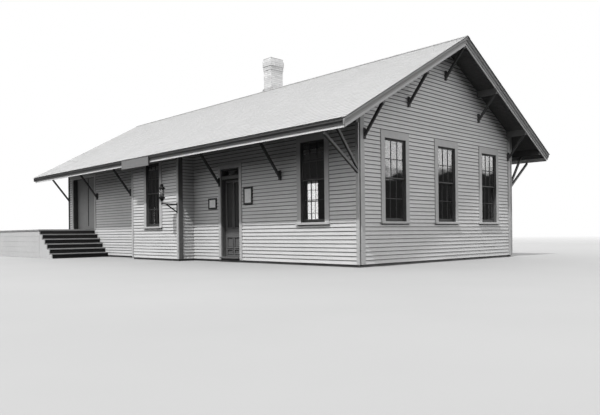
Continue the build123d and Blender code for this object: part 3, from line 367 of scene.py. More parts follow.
def roofed(piece: Piece, apex: float) -> Piece:
    """Saw a piece off along both slopes of a roof line.

    Args:
        piece: The object.
        apex: Height of that line at the ridge.

    Returns:
        The same object.
    """
    for side in (1, -1):
        piece = sawn(piece, (0, 0, apex), (0, side * math.sin(SIZES.pitch), math.cos(SIZES.pitch)))
    return piece


def outward(piece: Piece) -> Piece:
    """Merge a mesh's doubled points and turn its faces outwards.

    Args:
        piece: The object.

    Returns:
        The same object.
    """

    def mend() -> None:
        """Merge by distance, then recalculate the normals."""
        bpy.ops.mesh.remove_doubles(threshold=0.00005)
        bpy.ops.mesh.normals_make_consistent(inside=False)

    edit_whole(piece, mend)
    return piece


def lathed(name: str, profile: Sequence[Span], centre: Point, steps: int = 32) -> Piece:
    """A turned piece about an upright axis.

    Args:
        name: Name of the piece.
        profile: Its outline as (radius, height) pairs, from the foot up.
        centre: Where the axis meets height zero.
        steps: Number of steps round.

    Returns:
        The new object.
    """
    free_hands()
    mesh = bpy.data.meshes.new(name)
    points = [(radius, 0.0, height) for radius, height in profile]
    edges = [(index, index + 1) for index in range(len(points) - 1)]
    mesh.from_pydata(points, edges, [])
    piece = bpy.data.objects.new(name, mesh)
    bpy.context.scene.collection.objects.link(piece)
    spin = partial(bpy.ops.mesh.spin, steps=steps, angle=math.tau, center=(0, 0, 0), axis=(0, 0, 1))
    edit_whole(piece, spin)
    return shifted(smooth(outward(piece)), centre)


def smooth(piece: Piece, degrees: float = 35.0) -> Piece:
    """Shade a piece smooth, apart from its sharp edges.

    Args:
        piece: The object.
        degrees: Edges sharper than this stay sharp.

    Returns:
        The same object.
    """
    take(piece)
    bpy.ops.object.shade_smooth_by_angle(angle=math.radians(degrees))
    return piece


def stepped(piece: Piece, steps: Sequence[Span]) -> Piece:
    """Inset the face towards the track step by step.

    Args:
        piece: The object.
        steps: Width and height of each step, inwards from the edge.

    Returns:
        The same object.
    """

    def inset() -> None:
        """Inset the selected face once for each step."""
        for width, height in steps:
            bpy.ops.mesh.inset(thickness=width, depth=height)

    edit_faces(piece, lambda polygon: polygon.normal.y < -STRAIGHT, inset)
    return piece


def grey(value: float) -> tuple[float, float, float, float]:
    """An opaque grey of one linear value."""
    return (value, value, value, 1.0)


class FinishSheet:
    """The node tree of one material, with short ways to add nodes to it."""

    def __init__(self, name: str) -> None:
        """Start a material with a shader and Object coordinates.

        Args:
            name: The material's name.
        """
        self.material = bpy.data.materials.new(name)
        self.material.use_nodes = True
        self.tree = self.material.node_tree
        self.tree.nodes.clear()
        output = self.node("OutputMaterial", {})
        self.shader = self.node("BsdfPrincipled", {})
        self.link(self.shader.outputs[0], output.inputs["Surface"])
        self.place = self.node("TexCoord", {}).outputs["Object"]

    def link(self, source: Socket, target: Socket) -> None:
        """Join two sockets."""
        self.tree.links.new(source, target)

    def feed(self, target: Socket, value: object) -> None:
        """Give an input a link or a plain value.

        Args:
            target: The input.
            value: A socket to link, or the value to set.
        """
        if isinstance(value, Socket):
            self.link(value, target)
        else:
            target.default_value = value

    def node(self, kind: str, inputs: dict[int | str, object], **settings: object) -> bpy.types.Node:
        """Add a node.

        Args:
            kind: Its type, without the leading ShaderNode.
            inputs: A value or a socket for each input that is given.
            settings: Values of its own properties.

        Returns:
            The node.
        """
        node = self.tree.nodes.new(f"ShaderNode{kind}")
        for key, value in settings.items():
            setattr(node, key, value)
        for key, value in inputs.items():
            self.feed(node.inputs[key], value)
        return node

    def math(self, operation: str, first: object, second: object = 0.0) -> Socket:
        """The result of a Math node's operation on two values."""
        return self.node("Math", {0: first, 1: second}, operation=operation).outputs[0]

    def weighed(self, *shares: tuple[object, object]) -> Socket:
        """The sum of some values, each given with its weight."""
        parts = [self.math("MULTIPLY", value, weight) for value, weight in shares]
        return reduce(partial(self.math, "ADD"), parts)

    def split(self, vector: Socket) -> list[Socket]:
        """The three parts of a vector."""
        return list(self.node("SeparateXYZ", {0: vector}).outputs)

    def gather(self, x: object, y: object, z: object) -> Socket:
        """A vector from three values."""
        return self.node("CombineXYZ", {0: x, 1: y, 2: z}).outputs[0]

    def grained(self, grain: Axis, along: float, across: float) -> Socket:
        """Object coordinates, scaled along the axis of a grain and across it."""
        scale = [along if axis is grain else across for axis in Axis]
        return self.node("Mapping", {"Vector": self.place, "Scale": scale}).outputs[0]

    def noise(self, vector: Socket, scale: float, detail: float = 3.0) -> Socket:
        """Smooth noise, about 0 to 1, with its scale and its octaves."""
        return self.node("TexNoise", {"Vector": vector, "Scale": scale, "Detail": detail}).outputs["Fac"]

    def chance(self, vector: Socket) -> Socket:
        """One random value for each different vector."""
        return self.node("TexWhiteNoise", {"Vector": vector}, noise_dimensions="3D").outputs["Value"]

    def ramp(self, factor: object, low: Span, high: Span) -> Socket:
        """A value that runs between two pairs of a factor and a result, and holds past them."""
        ends = {"From Min": low[0], "From Max": high[0], "To Min": low[1], "To Max": high[1]}
        return self.node("MapRange", {"Value": factor, **ends}).outputs["Result"]

    def blend(self, factor: object, first: object, second: object) -> Socket:
        """A colour between two others: the first at factor 0, the second at 1."""
        return self.node("Mix", {0: factor, 6: first, 7: second}, data_type="RGBA").outputs[2]

    def attribute(self, name: str) -> Socket:
        """The piece's own attribute of that name."""
        return self.node("Attribute", {}, attribute_name=name).outputs["Fac"]

    def bump(self, height: object, strength: float, distance: float) -> None:
        """Give the shader a normal bumped by a relief, with its strength and its depth in metres."""
        relief = self.node("Bump", {"Strength": strength, "Distance": distance, "Height": height})
        self.link(relief.outputs[0], self.shader.inputs["Normal"])

    def colour(self, value: object) -> None:
        """Set the base colour."""
        self.feed(self.shader.inputs["Base Color"], value)

    def roughness(self, value: object) -> None:
        """Set the roughness."""
        self.feed(self.shader.inputs["Roughness"], value)

    def rough(self, pattern: Socket, low: float, high: float) -> None:
        """Let the roughness follow a pattern, from its low places to its high ones."""
        self.roughness(self.ramp(pattern, (0.3, low), (0.7, high)))


@dataclass(frozen=True)
class Coating:
    """A finish of two greys that a pattern mixes.

    Attributes:
        name: The material's name.
        tone: Linear grey of most of the surface.
        dark: Linear grey of its grain, its stains or its worn patches.
    """

    name: str
    tone: float
    dark: float

    def mixed(self, sheet: FinishSheet, factor: Socket) -> Socket:
        """The two greys, mixed by a factor from 0 to 1."""
        return sheet.blend(factor, grey(self.tone), grey(self.dark))

    def fill(self, sheet: FinishSheet) -> None:
        """Give a new material its colour, roughness and relief."""
        raise NotImplementedError

    def make(self) -> Material:
        """Build the material.

        Returns:
            The finished material.
        """
        sheet = FinishSheet(self.name)
        self.fill(sheet)
        return sheet.material


@dataclass(frozen=True)
class PaintedWood(Coating):
    """Oil paint on planed boards: grain that shows through, dull patches and rubbed edges.

    Attributes:
        grain: The axis that the boards run along.
        shine: Roughness of the paint.
        patches: How much the tone drifts over the piece.
    """

    grain: Axis = Axis.X
    shine: float = 0.55
    patches: float = 0.5

    def base(self, sheet: FinishSheet) -> tuple[Socket, Socket]:
        """Tone and relief of the paint.

        Args:
            sheet: The material being made.

        Returns:
            The colour and the height of the grain.
        """
        fibre = sheet.noise(sheet.grained(self.grain, along=1.2, across=26.0), scale=2.2, detail=5.0)
        drift = sheet.noise(sheet.place, scale=0.9, detail=4.0)
        rub = sheet.noise(sheet.place, scale=7.0)
        worn = sheet.weighed((drift, self.patches), (rub, 0.3), (fibre, 0.35))
        return self.mixed(sheet, sheet.ramp(worn, (0.35, 0.0), (0.85, 1.0))), fibre

    def fill(self, sheet: FinishSheet) -> None:
        """Paint over the grain.

        Args:
            sheet: The material being made.
        """
        colour, fibre = self.base(sheet)
        sheet.colour(colour)
        sheet.rough(fibre, low=self.shine + 0.12, high=self.shine - 0.08)
        sheet.bump(fibre, strength=0.25, distance=0.002)


@dataclass(frozen=True)
class MouldingPaint(PaintedWood):
    """Paint of the crown: darker along the eaves, as painted shade, and lighter on the lengths up the gables,
    as painted light.

    Attributes:
        lit_end_tone: Linear grey of the lengths up the gables.
        reach: How far out on X these start.
    """

    lit_end_tone: float = 0.40
    reach: float = 9.011

    def base(self, sheet: FinishSheet) -> tuple[Socket, Socket]:
        """Tone and relief of the paint.

        Args:
            sheet: The material being made.

        Returns:
            The colour and the height of the grain.
        """
        colour, fibre = super().base(sheet)
        x, _, _ = sheet.split(sheet.place)
        # Lighter lengths up the gables: painted light, against the painted shade of the darker eaves.
        end = sheet.ramp(sheet.math("ABSOLUTE", x), (self.reach, 0.0), (self.reach + 0.002, 1.0))
        light = sheet.blend(fibre, grey(self.lit_end_tone), grey(self.lit_end_tone * 0.8))
        return sheet.blend(end, colour, light), fibre


@dataclass(frozen=True)
class LappedPaint(PaintedWood):
    """Paint on lapped boards: each board has its own tone, with painted shade under each lap.

    Attributes:
        course: Height of one course.
        start: Height of the lowest course's foot.
        length: Usual length of one board.
    """

    course: float = 0.102
    start: float = 0.06
    length: float = 3.9

    def fill(self, sheet: FinishSheet) -> None:
        """Paint the boards one by one and shade their laps.

        Args:
            sheet: The material being made.
        """
        colour, fibre = self.base(sheet)
        x, y, z = sheet.split(sheet.place)
        rows = sheet.math("DIVIDE", sheet.math("SUBTRACT", z, self.start), self.course)
        row = sheet.math("FLOOR", sheet.math("ADD", rows, 0.02))
        across = sheet.math("DIVIDE", sheet.math("ADD", x, y), self.length)
        shift = sheet.chance(sheet.gather(row, 3.0, 7.0))
        board = sheet.math("FLOOR", sheet.math("ADD", across, sheet.math("MULTIPLY", shift, 5.0)))
        tone = sheet.chance(sheet.gather(row, board, 1.0))
        toned = sheet.blend(sheet.ramp(tone, (0.0, 0.0), (1.0, 0.30)), colour, grey(self.dark * 0.9))
        # The band just under each butt is darkened: painted shade of the lap above.
        phase = sheet.math("ABSOLUTE", sheet.math("SUBTRACT", sheet.math("FRACT", rows), 0.5))
        lap_shade = sheet.ramp(phase, (0.38, 0.0), (0.47, 0.95))
        sheet.colour(sheet.blend(lap_shade, toned, grey(self.dark * 0.12)))
        sheet.rough(fibre, low=self.shine + 0.12, high=self.shine - 0.08)
        sheet.bump(fibre, strength=0.3, distance=0.002)


@dataclass(frozen=True)
class WeatheredPlanks(Coating):
    """Bare timber gone grey: each piece has its own tone, with open grain and dark checks.

    Attributes:
        grain: The axis that the wood's fibres run along.
        spread: How far the pieces differ from each other.
    """

    grain: Axis = Axis.X
    spread: float = 0.45

    def fill(self, sheet: FinishSheet) -> None:
        """Weather each piece by its own tone.

        Args:
            sheet: The material being made.
        """
        fibre = sheet.noise(sheet.grained(self.grain, along=1.5, across=30.0), scale=2.5, detail=6.0)
        drift = sheet.noise(sheet.place, scale=0.6, detail=5.0)
        aged = sheet.weighed((sheet.attribute("tone"), self.spread), (drift, 0.55), (fibre, 0.4))
        sheet.colour(self.mixed(sheet, sheet.ramp(aged, (0.30, 0.0), (1.15, 1.0))))
        sheet.rough(fibre, low=0.95, high=0.78)
        sheet.bump(fibre, strength=0.5, distance=0.004)


@dataclass(frozen=True)
class FiredClay(Coating):
    """Common brick, weathered light: each brick has its own tone, with sandy pits."""

    def fill(self, sheet: FinishSheet) -> None:
        """Fire each brick to its own tone.

        Args:
            sheet: The material being made.
        """
        pits = sheet.noise(sheet.place, scale=90.0, detail=4.0)
        soot = sheet.noise(sheet.place, scale=3.0, detail=4.0)
        burnt = sheet.weighed((sheet.attribute("tone"), 0.6), (soot, 0.5))
        sheet.colour(self.mixed(sheet, sheet.ramp(burnt, (0.2, 0.0), (0.95, 1.0))))
        sheet.rough(pits, low=0.95, high=0.8)
        sheet.bump(pits, strength=0.6, distance=0.004)


@dataclass(frozen=True)
class GritStone(Coating):
    """Rough mineral surfaces: footings and mortar.

    Attributes:
        grit: Scale of the grit.
    """

    grit: float = 40.0

    def fill(self, sheet: FinishSheet) -> None:
        """Stain the stone and give it its grit.

        Args:
            sheet: The material being made.
        """
        grit = sheet.noise(sheet.place, self.grit, detail=5.0)
        stain = sheet.noise(sheet.place, scale=1.6, detail=4.0)
        sheet.colour(self.mixed(sheet, sheet.ramp(stain, (0.3, 0.0), (0.7, 1.0))))
        sheet.rough(grit, low=0.98, high=0.85)
        sheet.bump(grit, strength=0.6, distance=0.005)


@dataclass(frozen=True)
class Ironwork(Coating):
    """Metal, painted or bare.

    Attributes:
        bare: True for bare metal.
        shine: Roughness.
    """

    bare: bool = False
    shine: float = 0.45

    def fill(self, sheet: FinishSheet) -> None:
        """Coat the metal with scale and worn patches.

        Args:
            sheet: The material being made.
        """
        scale = sheet.noise(sheet.place, scale=60.0, detail=4.0)
        patch = sheet.noise(sheet.place, scale=9.0, detail=4.0)
        sheet.colour(self.mixed(sheet, sheet.ramp(patch, (0.45, 0.0), (0.7, 1.0))))
        sheet.rough(scale, low=self.shine + 0.15, high=self.shine - 0.1)
        sheet.shader.inputs["Metallic"].default_value = 1.0 if self.bare else 0.0
        sheet.shader.inputs["Specular IOR Level"].default_value = 0.25
        sheet.bump(scale, strength=0.3, distance=0.001)


@dataclass(frozen=True)
class WindowGlass(Coating):
    """Old sheet glass: clear, with a little dust.

    Attributes:
        index: Refractive index.
        clear: Share of the light that goes through; the rest is milky.
    """

    index: float = 1.5
    clear: float = 1.0

    def fill(self, sheet: FinishSheet) -> None:
        """Tint the glass and dust it.

        Args:
            sheet: The material being made.
        """
        dust = sheet.noise(sheet.place, scale=14.0, detail=4.0)
        sheet.colour(self.mixed(sheet, sheet.ramp(dust, (0.4, 0.0), (0.8, 0.25))))
        sheet.roughness(sheet.ramp(dust, (0.4, 0.0), (0.8, 0.02)))
        sheet.shader.inputs["Transmission Weight"].default_value = self.clear
        sheet.shader.inputs["IOR"].default_value = self.index


@dataclass(frozen=True)
class PaperSheet(Coating):
    """A bare sheet of paper, a little foxed, pasted on a board."""

    def fill(self, sheet: FinishSheet) -> None:
        """Fox the paper.

        Args:
            sheet: The material being made.
        """
        fox = sheet.noise(sheet.place, scale=11.0, detail=5.0)
        fibre = sheet.noise(sheet.place, scale=160.0)
        sheet.colour(self.mixed(sheet, sheet.ramp(fox, (0.45, 0.0), (0.75, 1.0))))
        sheet.roughness(0.85)
        sheet.bump(fibre, strength=0.15, distance=0.001)


class Finish(Enum):
    """Every finish on the station."""

    SIDING = LappedPaint("clapboard_paint", 0.78, 0.62)
    TRIM_Z = PaintedWood("trim_paint", 0.60, 0.46, Axis.Z)
    END_BOARD = PaintedWood("end_corner_paint", 0.035, 0.025, Axis.Z)
    # Painted shade: the board on the bay's near side, dark for the shade under the eave.
    SIDE_BOARD = PaintedWood("bay_corner_painted_shade", 0.15, 0.10, Axis.Z)
    # Painted shade: the lookouts under the rakes, darker than the trim for the shade there.
    LOOKOUT = PaintedWood("lookout_painted_shade", 0.24, 0.16, Axis.X)
    SASH = PaintedWood("sash_paint", 0.045, 0.075, Axis.Z, 0.4)
    # Painted shade: the window and door reveals, dark for the shade inside them.
    JAMB = PaintedWood("jamb_painted_shade", 0.16, 0.10, Axis.Z, 0.45)
    DOOR = PaintedWood("door_paint", 0.10, 0.14, Axis.Z, 0.6)
    # Painted shade: the door's tall upper panels, dark for the shade on the door's upper half.
    DOOR_FIELD = PaintedWood("door_field_painted_shade", 0.018, 0.035, Axis.Z, 0.6)
    FREIGHT = PaintedWood("freight_door_paint", 0.36, 0.25, Axis.Z, 0.6)
    # Painted shade: the freight door's sunk middle strip, near black for the shade in it.
    GROOVE = PaintedWood("freight_door_gap_shade", 0.012, 0.02, Axis.Z, 0.8)
    SOFFIT = PaintedWood("soffit_paint", 0.13, 0.08, Axis.X, 0.65)
    BRACKET = PaintedWood("bracket_paint", 0.09, 0.05, Axis.Z, 0.6)
    # Painted highlight: the sunlit +X sides of the passenger end's corner struts.
    STRUT = PaintedWood("corner_strut_painted_light", 0.24, 0.16, Axis.Z, 0.6)
    CROWN_X = MouldingPaint("crown_paint", 0.12, 0.08, Axis.X, 0.55)
    # Painted light and shade: the fascia along the eaves lighter for the sun on it, the rake boards greyer
    # for the less lit gables.
    FASCIA = PaintedWood("fascia_painted_light", 0.90, 0.76, Axis.X, 0.5)
    RAKE = PaintedWood("rake_board_painted_shade", 0.62, 0.50, Axis.Y, 0.5)
    BOARD = PaintedWood("eave_board_paint", 0.25, 0.17, Axis.X, 0.6, 0.3)
    SKIRT = PaintedWood("platform_skirt_paint", 0.70, 0.56, Axis.X, 0.7)
    RISER = PaintedWood("riser_paint", 0.012, 0.007, Axis.Y, 0.9)
    # Painted shade: the walls' inside faces, near black for the darkness inside, which also shows through the
    # open joints under the sills.
    INSIDE = PaintedWood("inside_boards_painted_shade", 0.07, 0.045, Axis.X, 0.6)
    SHINGLE = WeatheredPlanks("weathered_shingles", 0.46, 0.385, Axis.Y, 0.25)
    PLANK = WeatheredPlanks("platform_planks", 0.42, 0.22, Axis.Y)
    FLOOR = WeatheredPlanks("floor_planks", 0.16, 0.09, Axis.X)
    BRICK = FiredClay("chimney_brick", 0.88, 0.68)
    MORTAR = GritStone("lime_mortar", 0.55, 0.43, 60.0)
    STONE = GritStone("footing_stone", 0.20, 0.11)
    IRON = Ironwork("black_ironwork", 0.008, 0.016, False, 0.65)
    TIN = Ironwork("tin_flashing", 0.55, 0.42, False, 0.6)
    BRASS = Ironwork("aged_brass", 0.32, 0.14, True, 0.35)
    LANTERN = Ironwork("lantern_metal", 0.006, 0.012, False, 0.65)
    GLASS = WindowGlass("window_glass", 0.98, 0.686, 2.2)
    LAMP_GLASS = WindowGlass("lamp_glass", 0.90, 0.63, 1.45, 0.8)
    PAPER = PaperSheet("notice_paper", 0.90, 0.76)
    NOTICE = PaintedWood("notice_frame_paint", 0.03, 0.02, Axis.Z, 0.4)


class Paintbox:
    """Makes each finish once, when it is first asked for."""

    def __init__(self) -> None:
        """Start with no materials."""
        self.made: dict[Finish, Material] = {}

    def material(self, finish: Finish) -> Material:
        """The material of a finish.

        Args:
            finish: Which one.

        Returns:
            The material, made on its first use.
        """
        if finish not in self.made:
            self.made[finish] = finish.value.make()
        return self.made[finish]

    def dress(self, piece: Piece, finish: Finish) -> Piece:
        """Give a piece one finish all over.

        Args:
            piece: The object.
            finish: Its finish.

        Returns:
            The same object.
        """
        piece.data.materials.clear()
        piece.data.materials.append(self.material(finish))
        return piece


PAINT = Paintbox()


def give_tones(piece: Piece, parts: int, seed: int) -> None:
    """Give each repeated part of a mesh its own random value, in the attribute called tone.

    Args:
        piece: The object, whose parts have equal numbers of points, one after the other.
        parts: How many parts there are.
        seed: Seed of the random values.
    """
    values = np.random.default_rng(seed).random(parts)
    per_part = len(piece.data.vertices) // parts
    attribute = piece.data.attributes.new("tone", "FLOAT", "POINT")
    attribute.data.foreach_set("value", np.repeat(values, per_part).astype(np.float32))


def settle(
    piece: Piece,
    finish: Finish | None,
    slot: str,
    body: Body = Body.BUILDING,
    stands_for: Iterable[str] = (),
) -> Piece:
    """Dress a finished piece and put it on its body.

    Args:
        piece: The object.
        finish: Its finish, or None where its parts have theirs already.
        slot: The record's material slot. Not used.
        body: The body that carries it.
        stands_for: Nodes of the construction model that it replaces.

    Returns:
        The same object.
    """
    if finish is not None:
        PAINT.dress(piece, finish)
    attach(piece, body.value)
    if stands_for:
        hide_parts(*stands_for)
    LOG.info("%s: %d faces on %s", piece.name, len(piece.data.polygons), body.value)
    return piece


@dataclass
class EasedTimber:
    """Construction timbers with their sharp edges taken off, each in place of its own node.

    Attributes:
        groups: Finish, slot, width of the eased edges, and the nodes that have these.
        slack: How far inside its outer edge the freight end's front board is looked for.
        near: How far the bay's near side board reaches from the bay's corner, out and back.
        side: A strut's face is one of its sides when its normal's share of X is larger than this.
    """

    groups: tuple[tuple[Finish, str, float, tuple[str, ...]], ...] = (
        (Finish.TRIM_Z, "trim", 0.004, (
            "corner_boards", "gable_casings", "front_casings", "back_casings", "door_casing",
            "freight_door_casing",
        )),
        (Finish.SASH, "sash_paint", 0.003, ("gable_sashes", "front_sashes", "back_sashes")),
        # The fascia's light tone and the rake boards' grey are painted light and shade.
        (Finish.FASCIA, "light_trim", 0.003, ("fascia_boards",)),
        (Finish.RAKE, "trim", 0.004, ("rake_boards",)),
        # The lookouts carry painted shade.
        (Finish.LOOKOUT, "trim", 0.006, ("lookouts",)),
        (Finish.BRACKET, "dark_trim", 0.006, ("eave_purlins", "eave_brackets", "gable_brackets")),
        (Finish.RISER, "dark_trim", 0.003, ("step_risers",)),
        # The door frame carries the reveals' painted shade.
        (Finish.JAMB, "trim", 0.003, ("door_frame",)),
        (Finish.BOARD, "board_paint", 0.003, ("eave_board",)),
    )
    slack: float = 0.01
    near: Span = (0.1, 0.2)
    side: float = 0.7

    def ease(self, node: str, width: float) -> Piece:
        """A copy of one node with eased edges.

        Args:
            node: Name of the node.
            width: Width of the bevel.

        Returns:
            The new piece.
        """
        source = bpy.data.objects[node]
        piece = copied(source, f"{node}_dressed")
        piece.parent = None
        for key in [key for key in piece.keys() if key.startswith("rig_")]:
            del piece[key]

        def clean() -> None:
            """Merge the loose triangles and make flat faces whole."""
            bpy.ops.mesh.remove_doubles(threshold=0.0001)
            bpy.ops.mesh.dissolve_limited(angle_limit=math.radians(1.0))

        edit_whole(piece, clean)
        return eased(piece, width)

    def build(self) -> None:
        """Make and dress them all."""
        extras = {"corner_boards": self.darken_two_boards, "eave_brackets": self.paint_light_on_near_struts}
        for finish, slot, width, nodes in self.groups:
            for node in nodes:
                piece = settle(self.ease(node, width), finish, slot, stands_for=[node])
                if node in extras:
                    extras[node](piece)

    def darken_two_boards(self, piece: Piece) -> None:
        """Paint two boards dark: the freight end's front one, and the one on the bay's near side, whose dark
        is painted shade.

        Args:
            piece: The corner boards.
        """
        piece.data.materials.append(PAINT.material(Finish.END_BOARD))
        piece.data.materials.append(PAINT.material(Finish.SIDE_BOARD))
        out, back = self.near
        reach = SIZES.half_length - SIZES.corner_front - self.slack
        for polygon in piece.data.polygons:
            middle = polygon.center
            if middle.x < -reach and middle.y < -SIZES.half_width:
                polygon.material_index = 1
            # The bay's near side board gets the painted shade.
            elif 0 < middle.x - SIZES.bay_x[1] < out and 0 < middle.y - SIZES.bay_face < back:
                polygon.material_index = 2

    def paint_light_on_near_struts(self, piece: Piece) -> None:
        """Paint the +X sides of the passenger end's corner struts lighter: a painted highlight where the sun
        falls on them.

        Args:
            piece: The eave brackets.
        """
        piece.data.materials.append(PAINT.material(Finish.STRUT))
        for polygon in piece.data.polygons:
            # Faces towards +X get the painted highlight.
            if polygon.center.x > SIZES.half_length - self.near[0] and polygon.normal.x > self.side:
                polygon.material_index = 1


@dataclass
class KeptNodes:
    """Nodes whose shape is already right, with their finishes.

    Attributes:
        finishes: Each finish with its nodes.
    """

    finishes: dict[Finish, tuple[str, ...]] = field(
        default_factory=lambda: {
            Finish.STONE: ("foundation",),
            Finish.FLOOR: ("passenger_floor", "freight_floor"),
            # The wall cores inside the boards carry painted shade for the darkness indoors.
            Finish.INSIDE: (
                "freight_floor_bearers", "front_wall_right", "front_wall_middle", "front_wall_left",
                "front_wall_end", "front_wall_headers", "bay_front_wall", "bay_side_walls", "near_gable_wall",
                "far_gable_wall", "back_wall",
            ),
            Finish.GLASS: ("gable_glass", "front_glass", "back_glass", "door_transom"),
            Finish.DOOR: ("passenger_door",),
            Finish.IRON: ("door_hinges", "freight_door_rail", "freight_door_hangers"),
            Finish.BRASS: ("door_knob",),
            Finish.SOFFIT: ("roof_front_slope", "roof_back_slope"),
            Finish.CROWN_X: ("crown_mouldings",),
            Finish.SKIRT: ("platform_bents", "platform_ledger", "step_side_panel"),
        }
    )

    def build(self, nodes: dict[str, Piece]) -> None:
        """Dress them all.

        Args:
            nodes: The frame's nodes by name.
        """
        for finish, names in self.finishes.items():
            for name in names:
                PAINT.dress(nodes[name], finish)
        LOG.info("%d nodes of the construction model dressed", sum(map(len, self.finishes.values())))


@dataclass(frozen=True)
class Stretch:
    """A rectangle of wall that boards cover.

    Attributes:
        along: Ends of the stretch along the wall.
        height: Its foot and its top.
    """

    along: Span
    height: Span


@dataclass
class Siding:
    """Lapped boards on every outside wall.

    Attributes:
        course: Height that one board shows.
        butt: Thickness at a board's lower edge.
        top: Thickness at its upper edge.
        into_roof: How far the boards run up past the roof's underside.
        sill_joint: Height of the open joint between a sill and the boards under it.
    """

    course: float = 0.102
    butt: float = 0.021
    top: float = 0.004
    into_roof: float = 0.04
    sill_joint: float = 0.022

    def courses(self, stretch: Stretch, name: str) -> Piece:
        """Boards that cover one stretch of a wall at y = 0 that faces the front.

        Args:
            stretch: What they cover.
            name: Name of the piece.

        Returns:
            The boards, in one mesh.
        """
        foot, head = stretch.height
        first = math.floor((foot - SIZES.wall_foot) / self.course + HAIR)
        last = math.ceil((head - SIZES.wall_foot) / self.course - HAIR)
        low = SIZES.wall_foot + first * self.course
        board = block(name, stretch.along, (-self.butt, 0.0), (low, low + self.course))
        for vertex in board.data.vertices:
            if vertex.co.y < -self.butt / 2 and vertex.co.z > low + self.course / 2:
                vertex.co.y = -self.top
        board = repeated(board, (0, 0, self.course), last - first)
        if foot > low + HAIR:
            board = sawn(board, (0, 0, foot), (0, 0, -1))
        if head < low + (last - first) * self.course - HAIR:
            board = sawn(board, (0, 0, head), (0, 0, 1))
        return board

    def wall(
        self, name: str, stretches: Sequence[Stretch], facing: Facing, offset: Point, gabled: bool = False
    ) -> None:
        """Board one wall and dress it.

        Args:
            name: Name of the piece.
            stretches: What the boards cover, along a front-facing wall at y = 0.
            facing: The way the wall faces.
            offset: How far the turned wall is moved.
            gabled: True where the boards end along both slopes of the roof.
        """
        parts = [self.courses(stretch, f"{name}_{index}") for index, stretch in enumerate(stretches)]
        piece = placed(joined(name, parts), facing, offset)
        if gabled:
            piece = roofed(piece, SIZES.underside_apex + self.into_roof)
        settle(piece, Finish.SIDING, "clapboard")

    def around(self, ends: Span, height: Span, holes: Sequence[Stretch]) -> list[Stretch]:
        """Stretches that cover a wall with holes in it.

        Args:
            ends: Ends of the wall.
            height: Its foot and its top.
            holes: The holes, none over another.

        Returns:
            The stretches between, under and over the holes.
        """
        found = []
        start = ends[0]
        for hole in sorted(holes, key=lambda item: item.along[0]):
            found.append(Stretch((start, hole.along[0]), height))
            found.append(Stretch(hole.along, (height[0], hole.height[0])))
            found.append(Stretch(hole.along, (hole.height[1], height[1])))
            start = hole.along[1]
        found.append(Stretch((start, ends[1]), height))
        return [item for item in found if all(to - since > HAIR for since, to in (item.along, item.height))]

    def window_hole(self, middle: float, width: float) -> Stretch:
        """What the casing of one window covers, with the open joint under its sill.

        Args:
            middle: Place of the window along the wall.
            width: Width of its opening.

        Returns:
            The hole in the boards.
        """
        half = width / 2 + SIZES.casing_side
        foot = SIZES.sill_foot - self.sill_joint
        return Stretch((middle - half, middle + half), (foot, SIZES.window_head + SIZES.casing_head))

    def gable(self, name: str, facing: Facing, offset: Point) -> None:
        """Board an end wall round its three windows.

        Args:
            name: Name of the piece.
            facing: The way the wall faces.
            offset: Where the wall's face stands.
        """
        edge = SIZES.half_width - SIZES.corner_gable
        windows = [self.window_hole(place, SIZES.window_width) for place in SIZES.gable_windows]
        stretches = self.around((-edge, edge), (SIZES.wall_foot, SIZES.underside_apex), windows)
        self.wall(name, stretches, facing, offset, gabled=True)

    def build(self) -> None:
        """Board every wall."""
        low, face, end = SIZES.wall_foot, SIZES.half_width, SIZES.half_length
        corner = end - SIZES.corner_front
        bay_start, bay_end = SIZES.bay_x
        up_to_eave = (low, SIZES.underside(face) + self.into_roof)
        self.gable("near_gable_clapboards", Facing.NEAR_GABLE, (end, 0, 0))
        self.gable("far_gable_clapboards", Facing.FAR_GABLE, (-end, 0, 0))
        door_ends = (SIZES.door_x[0] - SIZES.door_casing, SIZES.door_x[1] + SIZES.door_casing)
        door = Stretch(door_ends, (low, SIZES.door_trim_top))
        window = self.window_hole(SIZES.front_window, SIZES.window_width)
        right = self.around((bay_end, corner), up_to_eave, [window, door])
        self.wall("front_clapboards_right", right, Facing.FRONT, (0, -face, 0))
        freight = Stretch(
            (SIZES.freight_x[0] - SIZES.freight_casing, SIZES.freight_x[1] + SIZES.freight_casing),
            (SIZES.freight_z[0], SIZES.freight_z[1] + SIZES.freight_casing),
        )
        left = self.around((-corner, bay_start), up_to_eave, [freight])
        self.wall("front_clapboards_left", left, Facing.FRONT, (0, -face, 0))
        bay_ends = (bay_start + SIZES.bay_board, bay_end - SIZES.bay_board)
        bay_height = (low, SIZES.underside(SIZES.bay_face) + self.into_roof)
        bay_window = self.window_hole(SIZES.bay_window, SIZES.bay_window_width)
        bay_front = self.around(bay_ends, bay_height, [bay_window])
        self.wall("bay_clapboards_front", bay_front, Facing.FRONT, (0, SIZES.bay_face, 0))
        side = (SIZES.bay_face + SIZES.bay_side_board, -face)
        near = [Stretch(side, up_to_eave)]
        self.wall("bay_clapboards_near", near, Facing.NEAR_GABLE, (bay_end, 0, 0), gabled=True)
        far = [Stretch((-side[1], -side[0]), up_to_eave)]
        self.wall("bay_clapboards_far", far, Facing.FAR_GABLE, (bay_start, 0, 0), gabled=True)
        windows = [self.window_hole(-place, SIZES.window_width) for place in SIZES.back_windows]
        back = self.around((-corner, corner), up_to_eave, windows)
        self.wall("back_clapboards", back, Facing.BACK, (0, face, 0))


